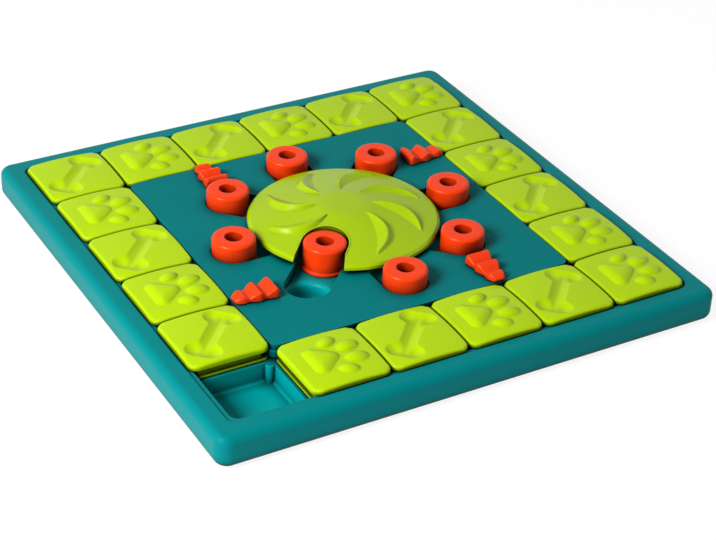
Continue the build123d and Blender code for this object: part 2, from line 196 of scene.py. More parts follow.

# %% [markdown]
# ## Moulded plastic
# All the plastic comes off polished moulds with a soft gloss. Close up, the colour drifts a little
# where the melt flowed, the gloss is uneven, the skin has a very fine ripple, and handling dulls
# the edges. Noise on Object coordinates gives the first three. The edges come from a Bevel node:
# where its rounded normal leaves the true one, there is an edge, and there the colour is paled,
# partly as handling wear and partly as a painted highlight. Deep holes and gaps take a painted
# shade, a darker tone of the colour; an Ambient Occlusion node tells how open the place is.

# %% Plastic
COLOUR_DRIFT = 0.06
EDGE_WIDTH = 0.0009
EDGE_PALENESS = 0.07
PAINTED_SHADE_REACH = 0.014
PAINTED_SHADE_TONE = 0.06


def moulded(name, colour, gloss, shine, ripple=0.12):
    """A plastic with its roughness, its specular level and the strength of its ripple."""
    material, board = new_material(name)
    where = board.add("ShaderNodeTexCoord")["Object"]
    flow = board.noise(where, 26.0, 3.0)
    cloud = board.noise(where, 210.0, 2.0)
    skin = board.noise(where, 1500.0, 1.0)
    rounded = board.add("ShaderNodeBevel", {"samples": 4}, {"Radius": EDGE_WIDTH})["Normal"]
    true = board.add("ShaderNodeNewGeometry")["Normal"]
    dot = {"operation": "DOT_PRODUCT"}
    alike = board.add("ShaderNodeVectorMath", dot, {0: rounded, 1: true})["Value"]
    edge = ((1 - alike) * 6.0).clamped() * (0.45 + cloud * 0.5)
    melt = flow * 0.65 + cloud * 0.35
    body = board.blend(melt, toned(colour, 1 - COLOUR_DRIFT), toned(colour, 1 + COLOUR_DRIFT))
    # Edges are paled, partly as handling wear and partly as a painted highlight.
    pale = tuple((1 - EDGE_PALENESS) * channel + EDGE_PALENESS for channel in colour[:3]) + (1.0,)
    worn_and_highlit = board.blend(edge * 0.35, body, pale)
    # Painted shade: holes and gaps take a darker tone of the colour, by how open the Ambient Occlusion
    # node finds them.
    probe = {"samples": 8, "only_local": False}
    openness = board.add("ShaderNodeAmbientOcclusion", probe, {"Distance": PAINTED_SHADE_REACH})["AO"]
    painted = board.blend((openness * 1.7 - 0.55).clamped(), toned(colour, PAINTED_SHADE_TONE), worn_and_highlit)
    ripples = {"Strength": ripple, "Distance": 0.0002, "Height": skin * 0.6 + cloud * 0.4}
    values = {"Base Color": painted, "IOR": 1.47, "Specular IOR Level": shine}
    values["Roughness"] = gloss + (cloud - 0.5) * 0.10 + edge * 0.08
    values["Normal"] = board.add("ShaderNodeBump", {}, ripples)["Normal"]
    shade(board, values)
    return material


frame_plastic = moulded("frame plastic", TEAL, 0.38, 0.05)
# The tray is the frame's teal made brighter, as painted light that makes the pit floors read as well
# lit.
tray_plastic = moulded("tray plastic", toned(TEAL, 1.45), 0.36, 0.08)
panel_plastic = moulded("panel plastic", toned(TEAL, 0.86), 0.46, 0.04, ripple=0.2)
wheel_plastic = moulded("wheel plastic", toned(LIME, 0.83), 0.22, 0.14)
tile_plastic = moulded("tile plastic", LIME, 0.20, 0.10)
glide_plastic = moulded("glide plastic", toned(LIME, 0.95), 0.42, 0.10)
cup_plastic = moulded("cup plastic", ORANGE, 0.30, 0.18)
lock_plastic = moulded("lock plastic", ORANGE, 0.32, 0.18)
print("plastics:", len(bpy.data.materials))

# %% [markdown]
# ## Rubber and steel
# The feet are matt black rubber with dust in its grain. The screws and the washer are zinc-plated
# steel, with a fine uneven grain and a slight yellow drift. Both need only noise: one for the
# colour and one, much finer, for the bumps.


# %% Rubber and steel
def rubber(name):
    material, board = new_material(name)
    where = board.add("ShaderNodeTexCoord")["Object"]
    dust = board.noise(where, 320.0, 4.0)
    grain = board.noise(where, 2600.0, 2.0)
    colour = board.blend(dust, (0.012, 0.012, 0.013, 1.0), (0.045, 0.044, 0.042, 1.0))
    bumps = {"Strength": 0.35, "Distance": 0.0002, "Height": grain}
    normal = board.add("ShaderNodeBump", {}, bumps)["Normal"]
    shade(board, {"Base Color": colour, "Roughness": 0.72 + dust * 0.16, "Normal": normal})
    return material


def plated(name):
    material, board = new_material(name)
    where = board.add("ShaderNodeTexCoord")["Object"]
    cloud = board.noise(where, 480.0, 3.0)
    fine = board.noise(where, 4200.0, 2.0)
    colour = board.blend(cloud, (0.52, 0.52, 0.54, 1.0), (0.66, 0.64, 0.58, 1.0))
    scratches = {"Strength": 0.25, "Distance": 0.0001, "Height": fine}
    normal = board.add("ShaderNodeBump", {}, scratches)["Normal"]
    values = {"Base Color": colour, "Roughness": 0.26 + fine * 0.18, "Normal": normal, "Metallic": 1.0}
    shade(board, values)
    return material


foot_rubber = rubber("foot rubber")
screw_steel = plated("screw steel")
print("materials:", sorted(material.name for material in bpy.data.materials))

# %% [markdown]
# ## Floor and world
# A studio sweep: the floor is white to the camera and still takes a soft shadow. An even dim world
# lights the object from all sides. Light Path tells who is looking: the camera, mirrors and glass
# see the floor and the world white, and only the light that they give to surfaces is dim.

# %% Floor
FLOOR_HALF = 4.0
FLOOR_GLOW = 0.8


def seen_directly(board):
    """One for rays from the camera, off a mirror or through glass, and zero for all others."""
    path = board.add("ShaderNodeLightPath")
    return (path["Is Camera Ray"] + path["Is Glossy Ray"] + path["Is Transmission Ray"]).clamped()


floor_mesh = bpy.data.meshes.new("floor")
corners = [(-FLOOR_HALF, -FLOOR_HALF, 0), (FLOOR_HALF, -FLOOR_HALF, 0)]
corners += [(FLOOR_HALF, FLOOR_HALF, 0), (-FLOOR_HALF, FLOOR_HALF, 0)]
floor_mesh.from_pydata(corners, [], [(0, 1, 2, 3)])
floor = bpy.data.objects.new("floor", floor_mesh)
scene.collection.objects.link(floor)
floor_finish, board = new_material("floor")
pale = board.add("ShaderNodeBsdfDiffuse", {}, {"Color": (0.86, 0.86, 0.86, 1.0)})
glow = board.add("ShaderNodeEmission", {}, {"Color": (1.0, 1.0, 1.0, 1.0), "Strength": 1.1})
layers = {0: seen_directly(board) * FLOOR_GLOW, 1: pale["BSDF"], 2: glow["Emission"]}
both = board.add("ShaderNodeMixShader", {}, layers)
board.add("ShaderNodeOutputMaterial", {}, {"Surface": both["Shader"]})
floor_mesh.materials.append(floor_finish)
print("floor:", 2 * FLOOR_HALF, "m wide")

# %% World
WORLD_LEVEL = 0.24
world = bpy.data.worlds.new("studio")
scene.world = world
world.use_nodes = True
sky = Board(world.node_tree)
level = WORLD_LEVEL + seen_directly(sky) * (1 - WORLD_LEVEL)
white = sky.add("ShaderNodeBackground", {}, {"Color": (1.0, 1.0, 1.0, 1.0), "Strength": level})
sky.add("ShaderNodeOutputWorld", {}, {"Surface": white["Background"]})
print("world nodes:", len(world.node_tree.nodes))

# %% [markdown]
# ## Lamps
# A large soft box stands low on the left, and its long falloff over the domes shows their shape. A
# weak one on the right keeps the far sides of the cups from going black.


# %% Lamps
def lamp(name, at, watts, width, height):
    """A soft box that faces the middle of the board."""
    data = bpy.data.lights.new(name, "AREA")
    data.shape = "RECTANGLE"
    data.size = width
    data.size_y = height
    data.energy = watts
    box = bpy.data.objects.new(name, data)
    box.location = at
    box.rotation_euler = (-Vector(at)).to_track_quat("-Z", "Y").to_euler()
    scene.collection.objects.link(box)


lamp("key", (-1.55, -0.36, 1.12), 45.0, 0.8, 0.7)
lamp("side", (1.7, -0.2, 1.2), 3.0, 1.0, 0.8)

# %% [markdown]
# ## Outlines and rounded profiles
# Injection moulding leaves no sharp edge. So each piece is written as a plan outline that can grow
# or shrink, and a side profile whose corners are rounded by arcs. Sweeping one along the other
# gives clean rings of faces, and the flat areas between rings are filled as webs with holes.


# %% Outlines
def polar(radius, degrees):
    angle = math.radians(degrees)
    return (radius * math.cos(angle), radius * math.sin(angle))


def soften(profile, radii, steps=5, closed=False, most=0.49):
    """Rounds a profile's corners by arcs, each of which takes at most that share of a side."""
    points = [np.array(point, float) for point in profile]
    count = len(points)
    rounded = []
    for k, (point, radius) in enumerate(zip(points, radii)):
        if radius == 0 or (not closed and k in (0, count - 1)):
            rounded.append(tuple(point))
            continue
        back = points[k - 1] - point
        ahead = points[(k + 1) % count] - point
        room = min(np.linalg.norm(back), np.linalg.norm(ahead))
        back = back / np.linalg.norm(back)
        ahead = ahead / np.linalg.norm(ahead)
        half = math.acos(float(np.clip(back @ ahead, -1, 1))) / 2
        reach = min(radius / math.tan(half), most * room)
        centre = point + (back + ahead) / np.linalg.norm(back + ahead) * reach / math.cos(half)
        start = point + back * reach - centre
        end = point + ahead * reach - centre
        for step in range(steps + 1):
            share = step / steps
            turn = math.pi - 2 * half
            mixed = start * math.sin((1 - share) * turn) + end * math.sin(share * turn)
            rounded.append(tuple(centre + mixed / math.sin(turn)))
    return rounded


def soften_pairs(pairs, steps=5, closed=False, most=0.49):
    """The same for a profile that is written as (point, radius) pairs."""
    points, radii = zip(*pairs)
    return soften(points, radii, steps, closed, most)


def turned_by(points, degrees):
    """Points of the plan, turned about the board's middle."""
    cos, sin = polar(1.0, degrees)
    return [(x * cos - y * sin, x * sin + y * cos) for x, y in points]


def box_outline(half_x, half_y, radius, centre=(0, 0), steps=8):
    """A rounded rectangle, counter-clockwise, as a function of how far it is grown."""

    def outline(grow=0.0):
        round_by = max(radius + grow, 0.05)
        points = []
        for quarter, (sx, sy) in enumerate([(1, 1), (-1, 1), (-1, -1), (1, -1)]):
            middle_x = centre[0] + sx * (half_x + grow - round_by)
            middle_y = centre[1] + sy * (half_y + grow - round_by)
            for step in range(steps + 1):
                x, y = polar(round_by, 90 * quarter + 90 * step / steps)
                points.append((middle_x + x, middle_y + y))
        return points

    return outline


def round_outline(radius, centre=(0, 0), sides=64):
    def outline(grow=0.0):
        ring = [polar(radius + grow, 360 * k / sides) for k in range(sides)]
        return [(centre[0] + x, centre[1] + y) for x, y in ring]

    return outline


print("a tile's corner starts at", box_outline(32, 32, 7.5)()[0])

# %% [markdown]
# ## A moulding
# A moulding collects rings and faces in millimetres and becomes one closed mesh in metres. Points
# that fall together are merged, and all faces are turned outwards.


# %% The moulding class
SAME_POINT = 0.000002


class Moulding:
    """The points and faces of one closed piece."""

    def __init__(self):
        self.points = []
        self.faces = []

    def ring(self, outline, heights):
        start = len(self.points)
        if not hasattr(heights, "__len__"):
            heights = [heights] * len(outline)
        self.points += [(x, y, z) for (x, y), z in zip(outline, heights)]
        return list(range(start, len(self.points)))

    def bridge(self, first, second):
        count = len(first)
        for k in range(count):
            after = (k + 1) % count
            self.faces.append((first[k], first[after], second[after], second[k]))

    def skin(self, rings, capped=False):
        """Bridges rings one after another; caps close the two ends."""
        for first, second in zip(rings, rings[1:]):
            self.bridge(first, second)
        if capped:
            self.faces += [tuple(rings[0]), tuple(rings[-1])]

    def sweep(self, outline, profile, closed=False):
        """Rings for a profile of (grow, height) points; gives the first ring and the last."""
        rings = [self.ring(outline(grow), height) for grow, height in profile]
        self.skin(rings)
        if closed:
            self.bridge(rings[-1], rings[0])
        return rings[0], rings[-1]

    def wells(self, outlines, profile):
        """Sweeps one profile round each outline and fills its end; gives the open edges."""
        edges = []
        for outline in outlines:
            edge, end = self.sweep(outline, profile)
            self.web(end)
            edges.append(edge)
        return edges

    def web(self, edge, holes=()):
        """Fills the flat area inside an edge and outside the holes."""
        loops = [edge, *holes]
        index = [point for loop in loops for point in loop]
        vectors = [[Vector(self.points[point]) for point in loop] for loop in loops]
        for corners_of in tessellate_polygon(vectors):
            self.faces.append(tuple(index[corner] for corner in corners_of))

    def lathe(self, profile, centre=(0, 0), sides=64):
        """A round piece whose profile of (radius, height) starts and ends on its axis."""
        inner = [point for point in profile if point[0] > 0]
        first, last = self.sweep(lambda grow: round_outline(grow, centre, sides)(), inner)
        for ring, height in ((first, profile[0][1]), (last, profile[-1][1])):
            middle = len(self.points)
            self.points.append((*centre, height))
            for k, point in enumerate(ring):
                self.faces.append((point, ring[(k + 1) % len(ring)], middle))

    def box(self, low, high):
        start = len(self.points)
        for z in (low[2], high[2]):
            for x, y in ((low[0], low[1]), (high[0], low[1]), (high[0], high[1]), (low[0], high[1])):
                self.points.append((x, y, z))
        sides = [(0, 1, 2, 3), (4, 5, 6, 7), (0, 1, 5, 4), (1, 2, 6, 5), (2, 3, 7, 6), (3, 0, 4, 7)]
        self.faces += [tuple(start + corner for corner in side) for side in sides]

    def mesh(self, name):
        mesh = bpy.data.meshes.new(name)
        metres = [tuple(MM * value for value in point) for point in self.points]
        mesh.from_pydata(metres, [], self.faces)
        turned = bmesh.new()
        turned.from_mesh(mesh)
        bmesh.ops.remove_doubles(turned, verts=turned.verts, dist=SAME_POINT)
        bmesh.ops.recalc_face_normals(turned, faces=turned.faces)
        turned.to_mesh(mesh)
        turned.free()
        return mesh

    def object(self, name):
        made = bpy.data.objects.new(name, self.mesh(name))
        scene.collection.objects.link(made)
        return made


print("a moulding can", [name for name in vars(Moulding) if not name.startswith("_")])

# %% [markdown]
# ## Finishing a piece
# A piece may still be bevelled or cut by another one. Modifiers do that, and each is turned into
# plain mesh at once. Weighted normals come last: they keep a piece's flats flat right up to their
# rounded edges.


# %% Finishing a piece
def settle(item):
    """Turns an object's live modifiers into its plain mesh."""
    bpy.context.view_layer.update()
    depsgraph = bpy.context.evaluated_depsgraph_get()
    mesh = bpy.data.meshes.new_from_object(
        item.evaluated_get(depsgraph), preserve_all_data_layers=True, depsgraph=depsgraph
    )
    item.modifiers.clear()
    item.data = mesh


def soft_edges(item, width, segments=3, angle=40):
    bevel = item.modifiers.new("soft edges", "BEVEL")
    bevel.width = width * MM
    bevel.segments = segments
    bevel.limit_method = "ANGLE"
    bevel.angle_limit = math.radians(angle)


def smooth(item, sharp=38):
    """Smooth shading that keeps flats flat: large faces weigh more than small ones."""
    item.data.shade_smooth()
    item.data.set_sharp_from_angle(angle=math.radians(sharp))
    weighted = item.modifiers.new("weighted", "WEIGHTED_NORMAL")
    weighted.keep_sharp = True
    settle(item)


def dress(item, body, slot, material, *nodes):
    """Gives a piece its material, ties it to its body and hides the nodes that it stands for."""
    item.data.materials.clear()
    item.data.materials.append(material)
    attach(item, body)
    if nodes:
        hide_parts(*nodes)


def finish_piece(item, body, slot, material, *nodes, sharp=38):
    """The last steps of a piece that is made only once."""
    smooth(item, sharp)
    dress(item, body, slot, material, *nodes)
    print(item.name, "has", len(item.data.polygons), "faces")


def cut(item, tool, operation="DIFFERENCE"):
    """A boolean between two closed meshes; the tool is deleted."""
    modifier = item.modifiers.new("cut", "BOOLEAN")
    modifier.operation = operation
    modifier.solver = "MANIFOLD"
    modifier.object = tool
    settle(item)
    bpy.data.objects.remove(tool)


print("moulding tools are ready")

# %% [markdown]
# ## Shared sizes
# The tiles sit on a ring of six by six places. Heights are measured from the surface that the
# board stands on. The frame's node gives the board's outer size.

# %% Sizes
PITCH = 66.5
RING = 6
TILE_TOP = 29.5
LEDGE_TOP = TILE_TOP - 3.3
PANEL_TOP = TILE_TOP + 1.0
LIP_UNDER = 21.0
WALL_TOP = 18.9
BASE = 1.0
FLOOR = 2.3
PIT_FLOOR = BASE + FLOOR
CUPS = 8
CUP_RING = 1.5 * PITCH
CUP_PARKED = 0.8 * PITCH
EMPTY_PLACE = 225.0
SLIDE_GAP = 0.15
high_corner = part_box("frame_shell")[1]
BOARD_HALF = high_corner.x / MM
RIM_TOP = high_corner.z / MM
print(f"board {2 * BOARD_HALF:.1f} mm wide, rim {RIM_TOP:.1f} mm high")

# %% [markdown]
# ## Frame
# The frame is one hollow rim that runs round the board: an outside that is rounded above and curls
# under below, a step that the tiles' caps drop behind, and a lip that keeps the tiles down. One
# closed profile swept round a rounded square gives all of it.

# %% Frame shell
RIM_INNER = 200.4
LIP_INNER = 196.2
FRAME_WALL = 3.0
FRAME_CORNER = 11.0
CAP_CORNER = 7.5
GLIDE_RUN = 199.4
RIM_ROUND = 6.8
FRAME_CURL = 7.6
CURL_INNER = BOARD_HALF - FRAME_CURL - 0.4
CURL_STEP = 4.0
SKIRT_THICK = 2.0


def frame_ring(half):
    """The frame's plan at a half width: outside, its corners shrink as fast as the plan does."""
    widths = [LIP_INNER, RIM_INNER, CURL_INNER, BOARD_HALF]
    radii = [CAP_CORNER, CAP_CORNER, FRAME_CORNER - (BOARD_HALF - CURL_INNER), FRAME_CORNER]
    return box_outline(half, half, float(np.interp(half, widths, radii)), steps=20)()


under_rim = RIM_TOP - FRAME_WALL - 1.0
frame_profile = [
    ((BOARD_HALF, BASE), FRAME_CURL),
    ((BOARD_HALF, RIM_TOP), RIM_ROUND),
    ((RIM_INNER, RIM_TOP), 1.1),
    ((RIM_INNER, LEDGE_TOP), 0.3),
    ((LIP_INNER, LEDGE_TOP), 0.7),
    ((LIP_INNER, LIP_UNDER), 0.4),
    ((GLIDE_RUN, LIP_UNDER), 0.3),
    ((GLIDE_RUN, PIT_FLOOR), 0),
    ((GLIDE_RUN + SKIRT_THICK, PIT_FLOOR), 0),
    ((GLIDE_RUN + SKIRT_THICK, under_rim), 0.5),
    ((BOARD_HALF - FRAME_WALL, under_rim), 2.0),
    ((BOARD_HALF - FRAME_WALL, CURL_STEP), 4.6),
    ((CURL_INNER, CURL_STEP), 0.3),
    ((CURL_INNER, BASE), 0.2),
]
shell = Moulding()
shell.sweep(frame_ring, soften_pairs(frame_profile, 10, closed=True, most=0.96), closed=True)
finish_piece(shell.object("rim"), "board", "frame_plastic", frame_plastic, "frame_shell")

# %% [markdown]
# ## Tray
# Under the tiles lies the tray: twenty pits in a ring, a raised middle with eight bowls, and a
# hollow underside with bosses and ribs. It is all one moulding, so its webs and wells are joined
# into one closed surface, from the pits' soft lips to their filleted floors.

# %% Tray outlines
PIT_OUTER = 197.0
PIT_INNER = 135.25
PIT_CORNER = 6.0
PLATEAU = PIT_INNER - 3.0
PLATEAU_CORNER = 8.0
TRAY_HALF = CURL_INNER - 0.4
BOWL_R = 17.6
BOWL_FLOOR = 6.0
BOSS_WALL = 2.6
BLOCK_HALF = 199.0
BORE_R = 6.1
POST_R = 16.0
WASHER_POCKET_R = 11.0
WASHER_CEILING = 5.95
FOOT_R = 9.0
SCREW_OUT, SCREW_ASIDE = 205.3, 75.0
SCREW_HEAD_R, SCREW_HEAD_THICK, SCREW_SHANK_R = 2.1, 1.2, 1.2
SCREW_PLACES = [
    (a * x, b * y)
    for x, y in ((SCREW_OUT, SCREW_ASIDE), (SCREW_ASIDE, SCREW_OUT))
    for a in (-1, 1)
    for b in (-1, 1)
]
FOOT_PLACES = [(x * 2.5 * PITCH, y * 2.5 * PITCH) for x in (-1, 0, 1) for y in (-1, 0, 1) if x or y]


def cell_centre(column, row):
    middle = (RING - 1) / 2
    return ((column - middle) * PITCH, (row - middle) * PITCH)


def ring_cells():
    """The ring's places, counter-clockwise from the empty front left corner."""
    last = RING - 1
    front = [(i, 0) for i in range(last)]
    right = [(last, i) for i in range(last)]
    return front + right + [(last - c, last - r) for c, r in front + right]


def pit_outline(column, row):
    centre = cell_centre(column, row)
    ends = (0, RING - 1)
    spans = []
    for at, here in zip(centre, (column, row)):
        along = PITCH / 2 - 1.0
        span = (at - along, at + along)
        if here in ends:
            inner = PIT_INNER - 0.5 if column in ends and row in ends else PIT_INNER
            span = (inner, PIT_OUTER) if at > 0 else (-PIT_OUTER, -inner)
        spans.append(span)
    (x0, x1), (y0, y1) = spans
    return box_outline((x1 - x0) / 2, (y1 - y0) / 2, PIT_CORNER, ((x0 + x1) / 2, (y0 + y1) / 2))


cup_turns = [360 / CUPS * k for k in range(CUPS)]
print("pits:", len(ring_cells()), "bowls:", len(cup_turns))

# %% [markdown]
# From above, the tray is one flat web round the pits and a second, higher one round the bowls. A
# pit or a bowl is a well: its side is swept round its outline, and a web closes its floor.

# %% Tray from above
tray = Moulding()
pit_side = [(0.7, WALL_TOP), (0, WALL_TOP), (-0.5, PIT_FLOOR), (-9, PIT_FLOOR)]
pit_side = soften(pit_side, [0, 0.6, 2.6, 0])
pit_edges = tray.wells([pit_outline(*place) for place in ring_cells()], pit_side)
block_side = soften([(-0.8, WALL_TOP), (0, WALL_TOP), (0, PIT_FLOOR)], [0, 0.5, 0])
block_edge, block_foot = tray.sweep(box_outline(BLOCK_HALF, BLOCK_HALF, 1.5), block_side)
plateau_side = [(-1.0, LIP_UNDER), (0, LIP_UNDER), (0, WALL_TOP), (0.6, WALL_TOP)]
plateau_side = soften(plateau_side, [0, 0.5, 0.4, 0])
plateau_edge, plateau_foot = tray.sweep(box_outline(PLATEAU, PLATEAU, PLATEAU_CORNER), plateau_side)
tray.web(block_edge, [*pit_edges, plateau_foot])

bowl_side = [(4.6, LIP_UNDER), (0, LIP_UNDER), (-1.5, BOWL_FLOOR), (-11, BOWL_FLOOR)]
bowl_side = soften(bowl_side, [0, 4.0, 6.5, 0], 9, most=0.96)
bowl_places = [polar(CUP_RING, turn) for turn in cup_turns]
bowl_edges = tray.wells([round_outline(BOWL_R, place) for place in bowl_places], bowl_side)
bore_side = soften([(0.5, LIP_UNDER), (0, LIP_UNDER), (0, WASHER_CEILING)], [0, 0.4, 0])
bore_edge, bore_foot = tray.sweep(round_outline(BORE_R, sides=48), bore_side)
tray.web(plateau_edge, [*bowl_edges, bore_edge])
print("tray top:", len(tray.faces), "faces")

# %% [markdown]
# The underside is seen when the board is turned over: the hollow middle, the bowls' bosses, the
# centre post with the washer's recess, and pockets for the feet and the screws' heads.

# %% Tray underside
flange = box_outline(TRAY_HALF, TRAY_HALF, FRAME_CORNER - (BOARD_HALF - TRAY_HALF), steps=12)
flange_side = soften([(0, PIT_FLOOR), (0, BASE), (-0.8, BASE)], [0, 0.5, 0])
flange_edge, base_edge = tray.sweep(flange, flange_side)
ceiling = LIP_UNDER - FLOOR
hollow = box_outline(PLATEAU - 2.0, PLATEAU - 2.0, 2.0)
hollow_side = soften([(0.5, BASE), (0, BASE), (0, ceiling), (-2.5, ceiling)], [0, 0.4, 1.5, 0])
hollow_edge, ceiling_edge = tray.sweep(hollow, hollow_side)
boss_side = soften([(2.0, ceiling), (0, ceiling), (0, BASE), (-0.8, BASE)], [0, 1.5, 0.5, 0])
bosses = [round_outline(BOWL_R + BOSS_WALL, place) for place in bowl_places]
boss_tops = tray.wells(bosses, boss_side)
post_top, post_foot = tray.sweep(round_outline(POST_R), boss_side)
washer_pocket = [(0, BASE), (0, WASHER_CEILING)]
pocket_foot, pocket_top = tray.sweep(round_outline(WASHER_POCKET_R, sides=48), washer_pocket)
tray.web(post_foot, [pocket_foot])
tray.web(pocket_top, [bore_foot])
tray.web(ceiling_edge, [*boss_tops, post_top])

foot_pockets = [round_outline(FOOT_R + 0.1, place, 48) for place in FOOT_PLACES]
pockets = tray.wells(foot_pockets, [(0, BASE), (0, BASE + 1.0)])
screw_holes = []
seat = BASE + SCREW_HEAD_THICK
for place in SCREW_PLACES:
    head = round_outline(SCREW_HEAD_R + 0.15, place, 24)
    shank = round_outline(SCREW_SHANK_R + 0.1, place, 24)
    edge, top = tray.sweep(head, [(0, BASE), (0, seat)])
    hole, way_out = tray.sweep(shank, [(0, seat), (0, PIT_FLOOR)])
    tray.web(top, [hole])
    pockets.append(edge)
    screw_holes.append(way_out)
tray.web(base_edge, [hollow_edge, *pockets])
tray.web(flange_edge, [block_foot, *screw_holes])
print("with its underside:", len(tray.faces), "faces")

# %% [markdown]
# Four ribs run out from the middle post, and a round post stands in each corner pit. All of them
# sink a little into the tray, so they can be closed shapes of their own inside the same mesh.

# %% Ribs and corner posts
RIB_HALF = FLOOR / 2
RIB_NEAR, RIB_FAR = 15.5, 55.0
RIB_LOW, RIB_HIGH = BASE + 0.6, ceiling + 0.3
for near, far in ((RIB_NEAR, RIB_FAR), (-RIB_FAR, -RIB_NEAR)):
    tray.box((near, -RIB_HALF, RIB_LOW), (far, RIB_HALF, RIB_HIGH))
    tray.box((-RIB_HALF, near, RIB_LOW), (RIB_HALF, far, RIB_HIGH))
CORNER_POST_R = 4.4
CORNER_POST_LOW, CORNER_POST_HIGH = 2.5, WALL_TOP + 0.05
post_side = [(0, CORNER_POST_HIGH), (CORNER_POST_R, CORNER_POST_HIGH)]
post_side += [(CORNER_POST_R, CORNER_POST_LOW), (0, CORNER_POST_LOW)]
post_side = soften(post_side, [0, 0.6, 0, 0])
post_at = PIT_INNER + 1.2
for x, y in ((-post_at, -post_at), (post_at, -post_at), (post_at, post_at), (-post_at, post_at)):
    tray.lathe(post_side, (x, y), 40)
finish_piece(tray.object("tray"), "board", "tray_plastic", tray_plastic, "compartment_tray")

# %% [markdown]
# ## Centre panel
# The panel covers the tray's middle and stands a little above the tiles' edges. A round well and
# eight slots are cut through it, wider below, so that a cup's flange runs under the skin and can't
# lift out. Four narrow slots take the locks' necks, and a recess under each takes the lock's foot.

# %% Panel outlines
PANEL_HALF = 136.0
PANEL_SEEN = 133.0
PANEL_CORNER = 7.6
PARKED_R, WELL_GAP = 17.0, 1.8
SLOT_R = 18.6
CHANNEL_R = 21.2
WELL_R = CUP_PARKED + PARKED_R + WELL_GAP
CHANNEL_TOP = LIP_UNDER + 2.8
REBATE_TOP = LIP_UNDER + 2.3
NECK_SLOT = (111.0, 130.5, 3.0)
FOOT_RECESS = (110.0, PANEL_HALF + 1, 5.5)


def star_outline(slot, well, arc_steps=14):
    """The well with its eight round-ended slots, as a function of how far the cut is grown."""

    def outline(grow=0.0):
        half, radius = slot + grow, well + grow
        leave = math.degrees(math.asin(half / radius))
        points = []
        for turn in cup_turns:
            tip = [polar(half, -90 + 180 * step / arc_steps) for step in range(arc_steps + 1)]
            arm = [(radius * math.cos(math.radians(leave)), -half)]
            points += turned_by(arm + [(CUP_RING + x, y) for x, y in tip], turn)
            gap = 360 / CUPS - 2 * leave
            points += [polar(radius, turn + leave + gap * step / 6) for step in range(6)]
        return points

    return outline


def lock_outline(x0, x1, half):
    """A rectangle lying along X, as far aside as the locks are."""
    near, far = PITCH - half, PITCH + half
    return [(x1, far), (x0, far), (x0, near), (x1, near)]


def slab(outline, low, high):
    """A closed block with that outline, as a tool for cutting."""
    block = Moulding()
    bottom = block.ring(outline, low)
    top = block.ring(outline, high)
    block.bridge(bottom, top)
    block.web(bottom)
    block.web(top)
    return block.object("tool")


print("the panel's cut has", len(star_outline(SLOT_R, WELL_R)()), "points")

# %% [markdown]
# The skin and the wider channel below it are swept along the same star, grown by a few
# millimetres. The small slots aren't part of that outline, so booleans cut them afterwards.

# %% Panel moulding
panel = Moulding()
lip = PANEL_HALF - PANEL_SEEN
brim = [(-0.9, PANEL_TOP), (0, PANEL_TOP), (0, LEDGE_TOP), (lip, LEDGE_TOP), (lip, LIP_UNDER)]
brim = soften(brim, [0, 0.7, 0.2, 0.4, 0])
top_edge, under_edge = panel.sweep(box_outline(PANEL_SEEN, PANEL_SEEN, PANEL_CORNER), brim)
cut_side = soften([(0.9, PANEL_TOP), (0, PANEL_TOP), (0, CHANNEL_TOP)], [0, 0.7, 0])
cut_edge, skin_edge = panel.sweep(star_outline(SLOT_R, WELL_R), cut_side)
channel_side = [(0, CHANNEL_TOP), (0, LIP_UNDER)]
channel_edge, channel_foot = panel.sweep(star_outline(CHANNEL_R, WELL_R + 3.0), channel_side)
panel.bridge(skin_edge, channel_edge)
panel.web(top_edge, [cut_edge])
panel.web(under_edge, [channel_foot])
centre_panel = panel.object("panel")
for span, high in ((NECK_SLOT, PANEL_TOP + 1), (FOOT_RECESS, REBATE_TOP)):
    for turn in (0, 90, 180, 270):
        outline = turned_by(lock_outline(*span), turn)
        cut(centre_panel, slab(outline, LIP_UNDER - 1, high))
finish_piece(centre_panel, "board", "panel_plastic", panel_plastic, "centre_panel")

# %% [markdown]
# ## Swirl wheel
# The wheel is a shallow dome with seven curved blades for a paw to push on. Its top is a height
# rule on a polar grid: a cone from the hub to the rim, plus each blade's ridge, broad on one side
# and steep on the other. A bay is cut out for the parked cup, with a wall round it.

# %% The wheel's rule
WHEEL_R = 79.0
WHEEL_UNDER = PANEL_TOP + 3.2
WHEEL_RIM_TOP = TILE_TOP + 8.2
RIM_EDGE = WHEEL_UNDER + 0.5
WHEEL_HUB_TOP = TILE_TOP + 20.0
HUB_R = 18.0
WHEEL_SKIN = 2.5
BLADE_START = (21.9, -20.0)
BLADE_END = (68.6, -52.0)
BLADE_HOLLOW, BLADE_CREST, BLADE_BULGE = 4.0, 13.5, 18.2
BLADE_HEIGHT = 4.2
wheel_side = soften(
    [
        (0.4, WHEEL_HUB_TOP),
        (HUB_R, WHEEL_HUB_TOP),
        (WHEEL_R - 2.6, WHEEL_RIM_TOP + 0.1),
        (WHEEL_R - 0.6, WHEEL_RIM_TOP - 1.6),
        (WHEEL_R, RIM_EDGE),
    ],
    [0, 60.0, 2.2, 1.0, 0],
    8,
)


def soft_least(first, second, width):
    """The smaller of two heights, with the crease between them rounded."""
    share = np.clip(0.5 + 0.5 * (second - first) / width, 0, 1)
    return second + (first - second) * share - width * share * (1 - share)


